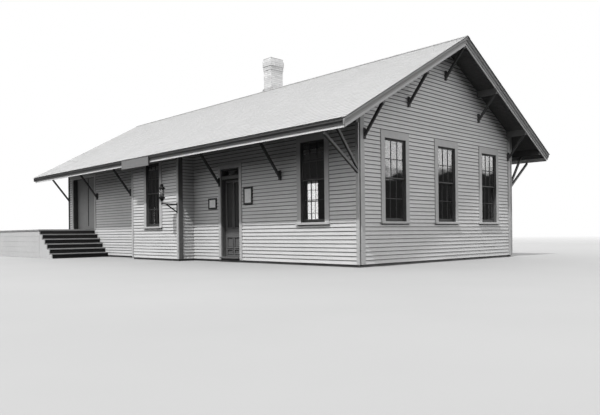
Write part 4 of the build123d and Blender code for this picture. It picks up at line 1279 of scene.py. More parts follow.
@dataclass
class Shingles:
    """Sawn shingles on both slopes, and the two boards that cap the ridge.

    Attributes:
        exposure: Length that one course shows.
        overlap: Length of a shingle against that.
        width: Mean width of one shingle.
        gap: Gap between neighbours.
        butt: Thickness at the lower edge.
        taper: How far the upper end drops, against the butt.
        layer: Thickness of the whole covering.
        play: How far a joint strays to either side.
        slip: How far a butt strays up the slope.
        sag: How far a shingle lies deeper than the next.
        ridge_gap: What the top course leaves free at the ridge.
        ridge_board: Width of a ridge board.
        ridge_thick: Thickness of a ridge board.
        ridge_sunk: How far the ridge boards meet below the shingles' top.
    """

    exposure: float = 0.142
    overlap: float = 1.25
    width: float = 0.150
    gap: float = 0.005
    butt: float = 0.0045
    taper: float = 1.3
    layer: float = 0.030
    play: float = 0.03
    slip: float = 0.006
    sag: float = 0.003
    ridge_gap: float = 0.002
    ridge_board: float = 0.135
    ridge_thick: float = 0.02
    ridge_sunk: float = 0.004

    def slope(self, back: bool) -> Piece:
        """One slope of shingles.

        Args:
            back: True for the back slope.

        Returns:
            The finished mesh.
        """
        _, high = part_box("roof_shingles")
        half = high.x
        run = high.y / math.cos(SIZES.pitch)
        columns = round(2 * half / self.width)
        rows = math.ceil(run / self.exposure)
        width = 2 * half / columns
        name = f"roof_shingles_{'back' if back else 'front'}"
        ends = (-half, -half + width - self.gap)
        unit = block(name, ends, (0, self.exposure * self.overlap), (self.layer - self.butt, self.layer))
        for vertex in unit.data.vertices:
            if vertex.co.y > self.exposure:
                vertex.co.z -= self.butt * self.taper
        unit = repeated(unit, (width, 0, 0), columns)
        unit = repeated(unit, (0, self.exposure, 0), rows)
        tilt = self.layer * math.tan(SIZES.pitch)
        self.shuffle(unit, rows, columns, run - tilt, half, 7 if back else 5)
        unit = turned(shifted(unit, (0, tilt, 0)), (SIZES.pitch, 0, 0))
        return to_slope(shifted(unit, (0, -high.y, SIZES.deck_apex - high.y * SIZES.slope)), back)

    def shuffle(self, piece: Piece, rows: int, columns: int, run: float, half: float, seed: int) -> None:
        """Vary the widths, the butts and the tones, and trim the top course to the ridge.

        Args:
            piece: The shingles on their flat sheet.
            rows: Number of courses.
            columns: Shingles in each course.
            run: Length of the slope.
            half: Half the length of the roof.
            seed: Seed of the random values.
        """
        rng = np.random.default_rng(SEED + seed)
        points = np.empty(len(piece.data.vertices) * 3, np.float32)
        piece.data.vertices.foreach_get("co", points)
        grid = points.reshape(rows, columns, 8, 3)
        middles = grid[..., 0].mean(axis=2, keepdims=True)
        right = grid[..., 0] > middles
        joints = rng.uniform(-self.play, self.play, (rows, columns + 1))
        joints[:, [0, -1]] = 0.0
        grid[..., 0] += np.where(right, joints[:, 1:, None], joints[:, :-1, None])
        butts = grid[..., 1] < grid[..., 1].mean(axis=2, keepdims=True)
        slip = rng.uniform(0.0, self.slip, (rows, columns, 1))
        slip[0] = 0.0
        grid[..., 1] += np.where(butts, slip, 0.0)
        grid[..., 2] += rng.uniform(-self.sag, 0.0, (rows, columns, 1))
        np.clip(grid[..., 1], 0.0, run - self.ridge_gap, out=grid[..., 1])
        np.clip(grid[..., 0], -half, half, out=grid[..., 0])
        piece.data.vertices.foreach_set("co", grid.ravel())
        piece.data.update()
        give_tones(piece, rows * columns, SEED + seed)

    def build(self) -> None:
        """Cover both slopes, then cap the ridge with a board on each side."""
        for back in (False, True):
            settle(self.slope(back), Finish.SHINGLE, "shingle", stands_for=["roof_shingles"])
        low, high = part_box("roof_shingles")
        boards = []
        for back in (True, False):
            board = block("ridge_board", (low.x, high.x), (0, self.ridge_board), (0, self.ridge_thick))
            board = sawn(board, (0, 0, 0), (0, -math.cos(SIZES.pitch), math.sin(SIZES.pitch)))
            board = to_slope(turned(board, (-SIZES.pitch, 0, 0)), back)
            boards.append(shifted(board, (0, 0, high.z - self.ridge_sunk)))
        cap = eased(joined("ridge_boards", boards), width=0.003)
        give_tones(cap, 1, SEED)
        settle(cap, Finish.SHINGLE, "shingle")


@dataclass
class SoffitBoards:
    """Narrow boards under the roof, seen from below at the eaves and the gables.

    Attributes:
        width: Width of one board.
        gap: The V between two boards.
        thickness: How far the boards hang below the roof's slab.
        into_slab: How far they reach into it.
    """

    width: float = 0.089
    gap: float = 0.004
    thickness: float = 0.012
    into_slab: float = 0.004

    def build(self) -> None:
        """Board both slopes from below."""
        low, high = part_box("roof_front_slope")
        count = math.floor(-low.y / math.cos(SIZES.pitch) / self.width)
        for name, back in (("soffit_boards_front", False), ("soffit_boards_back", True)):
            board = block(name, (low.x, high.x), (self.gap, self.width), (-self.thickness, self.into_slab))
            board = repeated(eased(board, width=0.003), (0, self.width, 0), count)
            board = shifted(turned(board, (SIZES.pitch, 0, 0)), (0, low.y, SIZES.underside(low.y)))
            settle(to_slope(board, back), Finish.SOFFIT, "soffit")


@dataclass
class WindowBars:
    """Glazing bars of the six-over-six windows and the linings of their reveals, which carry painted shade.

    Attributes:
        bar: Width of a bar on its face.
        depth: Its depth through the sash.
        columns: Panes across one sash.
        upper: Height range of the upper sash's glass.
        lower: Height range of the lower sash's glass.
        upper_in: Depth of the upper glass behind the wall's face.
        lower_in: Depth of the lower glass behind the wall's face.
        stile: Width of the sash stiles.
        shy: How far the level bar stays behind the upright ones on each face.
        lining: Thickness of a lining.
        reveal: Depth range of the linings in the wall.
    """

    bar: float = 0.019
    depth: float = 0.030
    columns: int = 3
    upper: Span = (2.238, 3.168)
    lower: Span = (1.200, 2.202)
    upper_in: float = 0.026
    lower_in: float = 0.064
    stile: float = 0.052
    shy: float = 0.001
    lining: float = 0.006
    reveal: Span = (-0.034, 0.084)

    def grid(self, width: float) -> Piece:
        """The bars of one window in a front-facing wall at the origin.

        Args:
            width: Width of the window opening.

        Returns:
            The bars of both sashes, in one mesh.
        """
        glass = width - 2 * self.stile
        parts = []
        for (foot, head), inward in ((self.upper, self.upper_in), (self.lower, self.lower_in)):
            ys = (inward - self.depth / 2, inward + self.depth / 2)
            for index in range(1, self.columns):
                place = -glass / 2 + glass * index / self.columns
                xs = (place - self.bar / 2, place + self.bar / 2)
                parts.append(block("bar", xs, ys, (foot, head)))
            middle = (foot + head) / 2
            level = (middle - self.bar / 2, middle + self.bar / 2)
            parts.append(block("bar", (-glass / 2, glass / 2), (ys[0] + self.shy, ys[1] - self.shy), level))
        return eased(joined("glazing_bars", parts), width=0.005)

    def linings(self, width: float) -> Piece:
        """Thin boards on the two sides and the head of one window's reveal.

        Args:
            width: Width of the window opening.

        Returns:
            The boards, in one mesh.
        """
        half = width / 2
        foot, head = SIZES.sill_top, SIZES.window_head
        boards = (
            ((-half, -half + self.lining), (foot, head)),
            ((half - self.lining, half), (foot, head)),
            ((-half, half), (head - self.lining, head)),
        )
        parts = [block("lining", xs, self.reveal, zs) for xs, zs in boards]
        return eased(joined("window_linings", parts), width=0.0015)

    def build(self) -> None:
        """Put bars and linings into every window."""
        end, face = SIZES.half_length, SIZES.half_width
        wide, narrow = SIZES.window_width, SIZES.bay_window_width
        groups = {
            "near_gable": [(wide, Facing.NEAR_GABLE, (end, place, 0)) for place in SIZES.gable_windows],
            "far_gable": [(wide, Facing.FAR_GABLE, (-end, place, 0)) for place in SIZES.gable_windows],
            "front": [
                (wide, Facing.FRONT, (SIZES.front_window, -face, 0)),
                (narrow, Facing.FRONT, (SIZES.bay_window, SIZES.bay_face, 0)),
            ],
            "back": [(wide, Facing.BACK, (place, face, 0)) for place in SIZES.back_windows],
        }
        for make, suffix, finish, slot in (
            (self.grid, "glazing_bars", Finish.SASH, "sash_paint"),
            (self.linings, "window_linings", Finish.JAMB, "trim"),
        ):
            patterns = {width: make(width) for width in (wide, narrow)}
            for name, windows in groups.items():
                copies = [placed(copied(patterns[width], suffix), *where) for width, *where in windows]
                settle(joined(f"{name}_{suffix}", copies), finish, slot)
            for pattern in patterns.values():
                bpy.data.objects.remove(pattern)


@dataclass
class ChimneyBricks:
    """The chimney's core with its flue, courses of brick round it above the roof, and its flashing.

    Attributes:
        shaft: Range of the shaft on X and on Y.
        steps: Top of the shaft, the band, the cap and the last course, and how far each stands out.
        rim: Width of the top round the flue.
        flue: Depth of the flue.
        course: Height of one course with its joint.
        joint: Thickness of the mortar joint.
        length: Length of a whole brick with its joint.
        proud: How far the bricks stand out of the mortar.
        bond: How deep the bricks sit in the core.
        buried: How far below the ridge of the roof's deck the bricks start.
        top_gap: What the last course leaves free of the chimney's top.
        sheet: Thickness of the flashing.
        rise: How far the flashing stands up beside the bricks.
        out: How far its side sheets reach up and down the slope.
        over: Height of the shingles over the deck, along the ridge.
        drops: How far the side sheets and the end sheets reach down.
    """

    shaft: tuple[Span, Span] = ((0.505, 0.915), (-0.035, 0.535))
    steps: tuple[Span, ...] = ((6.948, 0.0), (7.091, 0.018), (7.3056, 0.036), (7.40, 0.014))
    rim: float = 0.10
    flue: float = 0.60
    course: float = 0.0715
    joint: float = 0.010
    length: float = 0.205
    proud: float = 0.006
    bond: float = 0.03
    buried: float = 0.30
    top_gap: float = 0.002
    sheet: float = 0.003
    rise: float = 0.09
    out: float = 0.07
    over: float = 0.034
    drops: Span = (0.6, 0.3)

    def ring(self, xs: Span, ys: Span, z: float, flip: bool) -> list[Piece]:
        """One course of bricks round a rectangle.

        Args:
            xs: Range of the core on X.
            ys: Range of the core on Y.
            z: Height of the course's foot.
            flip: True where the corner bricks lie the other way.

        Returns:
            The bricks of the course.
        """
        zs = (z + self.joint / 2, z + self.course - self.joint / 2)
        reach = self.proud
        bricks = []
        for lengthwise in (True, False):
            ends = xs if lengthwise else ys
            sides = ys if lengthwise else xs
            cover = lengthwise != flip
            start = ends[0] - reach if cover else ends[0] + self.bond + self.joint
            stop = ends[1] + reach if cover else ends[1] - self.bond - self.joint
            count = max(1, round((stop - start) / self.length))
            pitch = (stop - start + self.joint) / count
            for index in range(count):
                run = (start + index * pitch, start + (index + 1) * pitch - self.joint)
                for side, outer in ((sides[0], -1), (sides[1], 1)):
                    depth = (side + outer * reach, side - outer * self.bond)
                    depth = (min(depth), max(depth))
                    pair = (run, depth) if lengthwise else (depth, run)
                    bricks.append(block("brick", pair[0], pair[1], zs))
        return bricks

    def core(self, foot: float) -> Piece:
        """The mortar core, drawn up step by step from its shaft, with the flue let into its top.

        Args:
            foot: Height of its lower end.

        Returns:
            The new object.
        """
        xs, ys = self.shaft
        level, proud = self.steps[0]
        whole = block("chimney_core", xs, ys, (foot, level))
        centre = (sum(xs) / 2, sum(ys) / 2, 0.0)
        size = (xs[1] - xs[0], ys[1] - ys[0])

        def draw_up() -> None:
            """Widen the top face and raise it for each step, then sink the flue."""
            below, width = level, proud
            for top, wider in self.steps[1:]:
                scale = [(side + 2 * wider) / (side + 2 * width) for side in size]
                bpy.ops.mesh.extrude_region_move(TRANSFORM_OT_translate={"value": (0, 0, 0)})
                bpy.ops.transform.resize(value=(*scale, 1.0), center_override=centre)
                bpy.ops.mesh.extrude_region_move(TRANSFORM_OT_translate={"value": (0, 0, top - below)})
                below, width = top, wider
            bpy.ops.mesh.inset(thickness=self.rim, depth=0.0)
            bpy.ops.mesh.extrude_region_move(TRANSFORM_OT_translate={"value": (0, 0, -self.flue)})

        edit_faces(whole, lambda polygon: polygon.normal.z > STRAIGHT, draw_up)
        return outward(whole)

    def build(self) -> None:
        """Draw up the core, lay every course and bend the flashing."""
        low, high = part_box("chimney")
        settle(self.core(low.z), Finish.MORTAR, "brick", stands_for=["chimney"])
        shaft_x, shaft_y = self.shaft
        bricks = []
        z = SIZES.deck_apex - self.buried
        flip = False
        while z + self.course <= high.z - self.top_gap:
            middle = z + self.course / 2
            step = next(proud for top, proud in self.steps if middle <= top)
            xs = (shaft_x[0] - step, shaft_x[1] + step)
            ys = (shaft_y[0] - step, shaft_y[1] + step)
            bricks += self.ring(xs, ys, z, flip)
            z += self.course
            flip = not flip
        piece = eased(joined("chimney_bricks", bricks), width=0.002)
        give_tones(piece, len(bricks), SEED + 11)
        settle(piece, Finish.BRICK, "brick")
        self.flashing(shaft_x, shaft_y)

    def flashing(self, xs: Span, ys: Span) -> None:
        """Bent tin round the foot of the chimney, up its sides and out over the shingles.

        Args:
            xs: Range of the shaft on X.
            ys: Range of the shaft on Y.
        """
        top = SIZES.deck_apex + self.over
        side_drop, end_drop = self.drops
        reach = (ys[0] - self.out, ys[1] + self.out)
        parts = []
        for outer, sign in ((xs[0] - self.proud, -1), (xs[1] + self.proud, 1)):
            wall = sorted((outer, outer + sign * self.sheet))
            sheet = block("sheet", wall, reach, (top - side_drop, top + self.rise))
            parts.append(roofed(sheet, top + self.rise))
        for near in (ys[0] - self.proud - self.sheet, ys[1] + self.proud):
            head = top - abs(near) * SIZES.slope + self.rise
            parts.append(block("sheet", xs, (near, near + self.sheet), (head - end_drop, head)))
        settle(eased(joined("chimney_flashing", parts), width=0.001), Finish.TIN, "iron")


@dataclass
class PlatformBoards:
    """Planks of the freight platform, its boarded face and the worn treads of its steps.

    Attributes:
        plank: Width of one deck plank.
        gap: Gap between planks.
        skirt_board: Width of one board of the face.
        rises: Rises of the steps, the last one on to the deck.
        going: Depth of one step.
        nosing: How far a tread reaches over the next.
        tread: Thickness of a tread.
    """

    plank: float = 0.20
    gap: float = 0.007
    skirt_board: float = 0.208
    rises: int = 6
    going: float = 0.228
    nosing: float = 0.02
    tread: float = 0.04

    def build(self) -> None:
        """Board the platform and its steps."""
        low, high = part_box("platform_deck")
        count = round((high.x - low.x) / self.plank)
        pitch = (high.x - low.x + self.gap) / count
        plank = block("deck", (low.x, low.x + pitch - self.gap), (low.y, high.y), (low.z, high.z))
        plank = repeated(eased(plank, width=0.004), (pitch, 0, 0), count)
        plank.name = "platform_deck_planks"
        give_tones(plank, count, SEED + 21)
        settle(plank, Finish.PLANK, "platform_planks", stands_for=["platform_deck"])
        low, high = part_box("platform_front_skirt")
        count = round((high.z - low.z) / self.skirt_board)
        pitch = (high.z - low.z + self.gap / 2) / count
        board = block("skirt", (low.x, high.x), (low.y, high.y), (low.z, low.z + pitch - self.gap / 2))
        board = repeated(eased(board, width=0.003), (0, 0, pitch), count)
        board.name = "platform_skirt_boards"
        settle(board, Finish.SKIRT, "skirt_paint", stands_for=["platform_front_skirt"])
        self.treads()

    def treads(self) -> None:
        """Replace the treads with two planks each, rounded at the nosing."""
        low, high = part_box("step_treads")
        rise = SIZES.freight_z[0] / self.rises
        half = (self.going + self.nosing) / 2
        parts = []
        for index in range(self.rises - 1):
            top = (index + 1) * rise
            for plank in range(2):
                start = high.x - index * self.going - half * plank
                xs = (start - half + self.gap / 2, start)
                parts.append(block("tread", xs, (low.y, high.y), (top - self.tread, top)))
        piece = eased(joined("step_tread_planks", parts), width=0.008, segments=2)
        give_tones(piece, len(parts), SEED + 31)
        settle(piece, Finish.PLANK, "platform_planks", stands_for=["step_treads"])


@dataclass
class FreightLeaf:
    """The sliding door's upright boards.

    Attributes:
        board: Width of one board.
        groove: The V between two boards.
        half_strip: Half the width of the sunk middle strip.
        sunk: How far that strip lies behind the boards.
        rail: Height of the rail at the strip's foot.
        core_edge: How far the core stays inside the leaf's edges.
        core_depth: How far it stays behind the front and the back.
    """

    board: float = 0.105
    groove: float = 0.004
    half_strip: float = 0.044
    sunk: float = 0.012
    rail: float = 0.13
    core_edge: float = 0.01
    core_depth: Span = (0.022, 0.006)

    def build(self) -> None:
        """Board the leaf on both sides of its sunk middle strip."""
        low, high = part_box("freight_door")
        middle = (low.x + high.x) / 2
        strip = (middle - self.half_strip, middle + self.half_strip)
        ys, zs = (low.y, high.y), (low.z, high.z)
        parts = []
        for start, stop in ((low.x, strip[0]), (strip[1], high.x)):
            count = round((stop - start) / self.board)
            pitch = (stop - start + self.groove) / count
            board = block("leaf", (start, start + pitch - self.groove), ys, zs)
            parts.append(repeated(eased(board, width=0.004), (pitch, 0, 0), count))
        edge = self.core_edge
        behind = (low.y + self.core_depth[0], high.y - self.core_depth[1])
        parts.append(block("leaf", (low.x + edge, high.x - edge), behind, (low.z + edge, high.z - edge)))
        parts.append(eased(block("leaf", strip, ys, (low.z, low.z + self.rail)), width=0.003))
        for part in parts:
            PAINT.dress(part, Finish.FREIGHT)
        # The sunk strip is painted near black: painted shade in the gap.
        parts.append(PAINT.dress(block("leaf", strip, (low.y + self.sunk, high.y), zs), Finish.GROOVE))
        piece = joined("freight_door_boards", parts)
        settle(piece, None, "freight_door", Body.FREIGHT_LEAF, ["freight_door"])


@dataclass
class DoorMouldings:
    """Raised fields in the passenger door's panels, the mouldings round them and the knob's plate.

    Attributes:
        face: The leaf's outer face.
        sunk: Depth of the panels.
        stile: Width of the leaf's stiles.
        muntin: Width of the upright between the panels.
        proud: How far a moulding stands out from the leaf.
        lap: How far a moulding lies on the leaf round its panel.
        inner_lap: How far it lies on the panel.
        tall: Height above which only the two tall panels reach.
        rows: For each row of panels, the rail below it and its height; the last row fills what is left.
        head_rail: Height of the top rail.
        field_depth: How far a panel's block reaches before and behind the sunk face.
        field_steps: Width and height of each step of a raised field, from the moulding inwards.
        plate: Thickness of the knob's plate.
        plate_over: How far the plate reaches past the knob sideways, down and up.
    """

    face: float = -3.66
    sunk: float = 0.014
    stile: float = 0.105
    muntin: float = 0.090
    proud: float = 0.022
    lap: float = 0.016
    inner_lap: float = 0.008
    tall: float = 1.5
    rows: tuple[Span, ...] = ((0.095, 0.115), (0.06, 0.31), (0.285, 0.0))
    head_rail: float = 0.085
    field_depth: Span = (0.001, 0.004)
    field_steps: tuple[Span, ...] = ((0.004, 0.007), (0.010, -0.007), (0.012, 0.0), (0.014, 0.006))
    plate: float = 0.003
    plate_over: Point = (0.002, 0.09, 0.01)

    def panels(self) -> list[tuple[Span, Span]]:
        """Ranges of the six panels, across and in height.

        Returns:
            The left column's panels from the foot up, then the right one's.
        """
        low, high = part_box("passenger_door")
        middle = (low.x + high.x) / 2
        stile, half = self.stile, self.muntin / 2
        columns = ((low.x + stile, middle - half), (middle + half, high.x - stile))
        rows = []
        level = low.z
        for rail, height in self.rows:
            foot = level + rail
            level = foot + height if height else high.z - self.head_rail
            rows.append((foot, level))
        return [(column, row) for column in columns for row in rows]

    def moulding(self, xs: Span, zs: Span) -> Piece:
        """A rounded moulding that stands on the leaf round a panel.

        Args:
            xs: The panel's range across.
            zs: Its range in height.

        Returns:
            The new object.
        """
        lap = self.lap
        depth = (self.face - self.proud, self.face + self.sunk)
        ring = block("moulding", (xs[0] - lap, xs[1] + lap), depth, (zs[0] - lap, zs[1] + lap))

        def open_middle() -> None:
            """Join the front to the back through the middle."""
            bpy.ops.mesh.inset(thickness=lap + self.inner_lap, depth=0.0)
            bpy.ops.mesh.bridge_edge_loops()

        edit_faces(ring, lambda polygon: abs(polygon.normal.y) > STRAIGHT, open_middle)
        return eased(outward(ring), width=0.006, segments=2)

    def build(self) -> None:
        """Put a raised field into each panel, a moulding round it and the plate behind the knob."""
        fields = []
        mouldings = []
        ground = self.face + self.sunk
        depth = (ground - self.field_depth[0], ground + self.field_depth[1])
        for xs, zs in self.panels():
            panel = stepped(block("panel", xs, depth, zs), self.field_steps)
            # The two tall panels take the darker finish: painted shade of the door's upper half.
            fields.append(PAINT.dress(panel, Finish.DOOR_FIELD if zs[1] > self.tall else Finish.DOOR))
            mouldings.append(self.moulding(xs, zs))
        settle(joined("passenger_door_panels", fields), None, "dark_door", Body.PASSENGER_LEAF)
        settle(joined("passenger_door_mouldings", mouldings), Finish.DOOR, "dark_door", Body.PASSENGER_LEAF)
        low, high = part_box("door_knob")
        side, down, up = self.plate_over
        xs, zs = (low.x - side, high.x + side), (low.z - down, high.z + up)
        plate = block("knob_plate", xs, (self.face - self.plate, self.face), zs)
        settle(eased(plate, width=0.0025, segments=2), Finish.BRASS, "brass", Body.PASSENGER_LEAF)


@dataclass
class LampArm:
    """Forged arm that holds the lantern out from the bay: wall plate, arm, brace, stem and cup.

    Attributes:
        bar: Radius of the arm and the brace.
        stem: Radius of the stem.
        cup: Radius of the cup's rim.
        level: Height of the arm.
        drop: How far below the arm the brace leaves the wall plate.
        reach: How far out the brace meets the arm.
        plate: Half the width and the thickness of the wall plate.
        plate_ends: Heights of the wall plate's ends.
    """

    bar: float = 0.020
    stem: float = 0.014
    cup: float = 0.060
    level: float = 1.800
    drop: float = 0.250
    reach: float = 0.400
    plate: Span = (0.023, 0.008)
    plate_ends: Span = (1.516, 1.846)

    def rod(self, foot: Point, out: float, up: float) -> Piece:
        """A round bar from a foot on the wall plate, that far out and up."""
        bar = eased(drum("rod", (0, 0, 0), self.bar, math.hypot(out, up)), width=0.004)
        return shifted(turned(bar, (math.atan2(out, up), 0, 0)), foot)

    def build(self) -> None:
        """Forge the arm and turn its stem and cup."""
        low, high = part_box("lamp_bracket")
        x = (low.x + high.x) / 2
        end = low.y + self.cup
        half, thick = self.plate
        wall = high.y - thick / 2
        plate = block("plate", (x - half, x + half), (high.y - thick, high.y), self.plate_ends)
        plate = eased(plate, width=0.002)
        arm = self.rod((x, wall, self.level), wall - end, 0.0)
        brace = self.rod((x, wall, self.level - self.drop), self.reach, self.drop)
        rise = high.z - self.level
        turning = [
            (0.0, -0.034), (0.012, -0.030), (0.024, -0.008), (0.024, 0.012), (self.stem, 0.026),
            (self.stem, rise - 0.070), (0.034, rise - 0.058), (self.cup - 0.006, rise - 0.030),
            (self.cup, rise - 0.008), (self.cup, rise), (0.0, rise),
        ]
        stem = lathed("stem", turning, (x, end, self.level), steps=24)
        whole = joined("lamp_arm_and_cup", [plate, arm, brace, stem])
        settle(smooth(whole), Finish.LANTERN, "iron", stands_for=["lamp_bracket"])


@dataclass
class Lantern:
    """Tubular lantern on the bay's iron arm: tank, burner, globe, hood and two air tubes.

    Attributes:
        sides: Steps round each turned part.
        tube: Radius of an air tube.
        guard: Radius of a guard wire.
        guards: Height and radius of each guard ring.
        rim: Height of the hood's lower edge.
        bend: Radius of a tube's bends.
        leaves: Height at which a tube leaves the tank.
        enters: Height over the rim at which it enters the hood.
        into: How far out from the lantern's axis a tube starts and ends.
        shell: Thickness of the globe.
        globe: Outline of the globe as (radius, height) pairs, from the foot up.
    """

    sides: int = 32
    tube: float = 0.019
    guard: float = 0.006
    guards: tuple[Span, ...] = ((0.125, 0.088), (0.215, 0.090))
    rim: float = 0.286
    bend: float = 0.026
    leaves: float = 0.030
    enters: float = 0.014
    into: Span = (0.05, 0.03)
    shell: float = 0.0025
    globe: tuple[Span, ...] = (
        (0.056, 0.066), (0.068, 0.090), (0.073, 0.140), (0.074, 0.190), (0.070, 0.245), (0.064, 0.286),
    )

    def air_tube(self, reach: float) -> Piece:
        """One tube that leaves the tank sideways, rises and turns back into the hood.

        Args:
            reach: How far out the tube's middle line runs.

        Returns:
            The tube on the +X side of the lantern's axis.
        """
        foot, head, bend = self.leaves, self.rim + self.enters, self.bend
        start, stop = self.into
        free_hands()
        bpy.ops.mesh.primitive_circle_add(
            vertices=12, radius=self.tube, location=(start, 0, foot), rotation=(0, math.pi / 2, 0)
        )
        tube = set_down(bpy.context.object)

        def run_on(x: float, z: float) -> None:
            """Extrude the ring by that much."""
            bpy.ops.mesh.extrude_region_move(TRANSFORM_OT_translate={"value": (x, 0, z)})

        def bend_it() -> None:
            """Extrude the ring out, spin it upwards, extrude it up and spin it back in."""
            run_on(reach - bend - start, 0)
            climb = (foot + bend, 0, head - foot - 2 * bend)
            home = (head - bend, bend - reach + stop, 0)
            for level, x, z in (climb, home):
                centre = (reach - bend, 0, level)
                bpy.ops.mesh.spin(steps=6, angle=-math.pi / 2, center=centre, axis=(0, 1, 0))
                run_on(x, z)

        edit_whole(tube, bend_it)
        return smooth(outward(tube), degrees=60.0)

    def metalwork(self, centre: Point, radius: float, height: float) -> list[Piece]:
        """Everything but the glass.

        Args:
            centre: Foot of the lantern's axis.
            radius: Its greatest radius.
            height: Its height.

        Returns:
            The parts.
        """
        rim = self.rim
        tank = [(0.0, 0.0), (0.062, 0.0), (0.098, 0.012), (0.100, 0.045), (0.074, 0.062), (0.0, 0.066)]
        burner = [(0.0, 0.06), (0.030, 0.062), (0.034, 0.078), (0.016, 0.096), (0.010, 0.116), (0.0, 0.118)]
        hood = [
            (0.0, rim), (0.072, rim), (0.078, rim + 0.006), (0.074, rim + 0.030),
            (radius - 0.004, rim + 0.026), (radius, rim + 0.030), (radius - 0.010, rim + 0.046),
            (0.072, rim + 0.082), (0.050, rim + 0.104), (0.046, rim + 0.122), (0.058, rim + 0.128),
            (0.058, rim + 0.136), (0.044, rim + 0.142), (0.040, height - 0.018), (0.024, height - 0.004),
            (0.0, height),
        ]
        parts = [lathed("lantern_part", profile, centre, self.sides) for profile in (tank, burner, hood)]
        for turn in (math.pi / 4, math.pi * 5 / 4):
            parts.append(shifted(turned(self.air_tube(radius - self.tube), (0, 0, turn)), centre))
        wire = {"minor_radius": self.guard, "major_segments": 32, "minor_segments": 6}
        for level, ring in self.guards:
            free_hands()
            bpy.ops.mesh.primitive_torus_add(major_radius=ring, location=(0, 0, level), **wire)
            parts.append(shifted(set_down(bpy.context.object), centre))
        return parts

    def build(self) -> None:
        """Turn and bend every part of the lantern."""
        low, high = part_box("lantern")
        centre = ((low.x + high.x) / 2, (low.y + high.y) / 2, low.z)
        metal = joined("lantern_metalwork", self.metalwork(centre, (high.x - low.x) / 2, high.z - low.z))
        settle(metal, Finish.LANTERN, "lantern", stands_for=["lantern"])
        inner = [(radius - self.shell, level) for radius, level in reversed(self.globe)]
        shell = lathed("lantern_globe", [*self.globe, *inner, self.globe[0]], centre, self.sides)
        settle(shell, Finish.LAMP_GLASS, "window_glass")


@dataclass
class Notices:
    """The two framed boards beside the passenger door, with bare sheets.

    Attributes:
        places: Range of each board on X and in height.
        thickness: Thickness of the frame.
        steps: Width and height of each step from the frame's edge to the ground of the sheet.
        inner: How far the sheet's edge lies inside the frame's.
        sheet: How far the sheet's front and back stand out from the wall.
    """

    places: tuple[tuple[Span, Span], ...] = (
        ((2.200, 2.616), (1.613, 1.953)), ((3.960, 4.356), (1.690, 2.195)),
    )
    thickness: float = 0.048
    steps: tuple[Span, ...] = ((0.010, 0.0), (0.030, 0.0), (0.008, -0.014))
    inner: float = 0.052
    sheet: Span = (0.0355, 0.0335)

    def build(self) -> None:
        """Make both frames and both sheets."""
        face = -SIZES.half_width
        depth = (face - self.sheet[0], face - self.sheet[1])
        frames = []
        papers = []
        for xs, zs in self.places:
            board = block("frame", xs, (face - self.thickness, face), zs)
            frames.append(eased(stepped(board, self.steps), width=0.003, segments=2))
            ends = [(span[0] + self.inner, span[1] - self.inner) for span in (xs, zs)]
            papers.append(block("sheet", ends[0], depth, ends[1]))
        settle(joined("notice_board_frames", frames), Finish.NOTICE, "notice", stands_for=["notice_boards"])
        settle(eased(joined("notice_sheets", papers), width=0.0004), Finish.PAPER, "notice")


@dataclass
class Bolts:
    """Bolt heads on the wall blocks of the brackets.

    Attributes:
        radius: Radius of a square head's corner circle.
        proud: How far a head stands out.
        washer: Thickness of its washer.
        wider: Radius of the washer against the head's.
        block: How far the wall blocks stand out.
        lookouts: Places of the gable's brackets across the building.
        below: Depths of the lookout, from the roof's underside, and of the block under it.
        up: How far above the block's foot the head sits.
        eave_level: Height of the heads under the eaves.
    """

    radius: float = 0.016
    proud: float = 0.010
    washer: float = 0.003
    wider: float = 1.7
    block: float = 0.06
    lookouts: tuple[float, ...] = (-3.585, -1.765, 0.0, 1.765, 3.585)
    below: Span = (0.165, 0.77)
    up: float = 0.22
    eave_level: float = 2.52

    def head(self, facing: Facing, place: Point) -> Piece:
        """One head with its washer on a block's face.

        Args:
            facing: The way the block faces.
            place: Middle of the head on the block's face.

        Returns:
            The new object.
        """
        washer = drum("washer", (0, 0, 0), self.radius * self.wider, self.washer, sides=12)
        nut = drum("nut", (0, 0, self.washer), self.radius, self.proud, sides=4)
        piece = eased(joined("bolt", [nut, washer]), width=0.0012)
        return placed(turned(piece, (math.pi / 2, 0, 0)), facing, place)

    def build(self) -> None:
        """Bolt every bracket's block to its wall; the struts at the corners have none."""
        heads = []
        reach = SIZES.half_length + self.block
        for y in self.lookouts:
            z = SIZES.underside(y) - self.below[0] - self.below[1] + self.up
            heads.append(self.head(Facing.NEAR_GABLE, (reach, y, z)))
            heads.append(self.head(Facing.FAR_GABLE, (-reach, y, z)))
        out = SIZES.half_width + self.block
        for index in range(1, SIZES.bracket_count - 1):
            x = SIZES.half_length - index * SIZES.bracket_pitch
            if not SIZES.bay_x[0] <= x <= SIZES.bay_x[1]:
                heads.append(self.head(Facing.FRONT, (x, -out, self.eave_level)))
            heads.append(self.head(Facing.BACK, (x, out, self.eave_level)))
        settle(joined("bracket_bolts", heads), Finish.IRON, "iron")


class StudioSheet(FinishSheet):
    """The node tree of a staged material or of the world, with its light paths."""

    def path(self, name: str) -> Socket:
        """One output of a Light Path node."""
        return self.node("LightPath", {}).outputs[name]

    def glow(self, kind: str, colour: object) -> Socket:
        """An even glow of strength 1: Emission for a material, Background for the world."""
        return self.node(kind, {"Color": colour}).outputs[0]

    def either(self, factor: object, first: Socket, second: Socket) -> Socket:
        """One shader at factor 0, another at 1."""
        return self.node("MixShader", {0: factor, 1: first, 2: second}).outputs[0]

    def surface(self, shader: Socket, output: str = "ShaderNodeOutputMaterial") -> None:
        """Make a shader the one that shows."""
        node = next(node for node in self.tree.nodes if node.bl_idname == output)
        self.link(shader, node.inputs["Surface"])


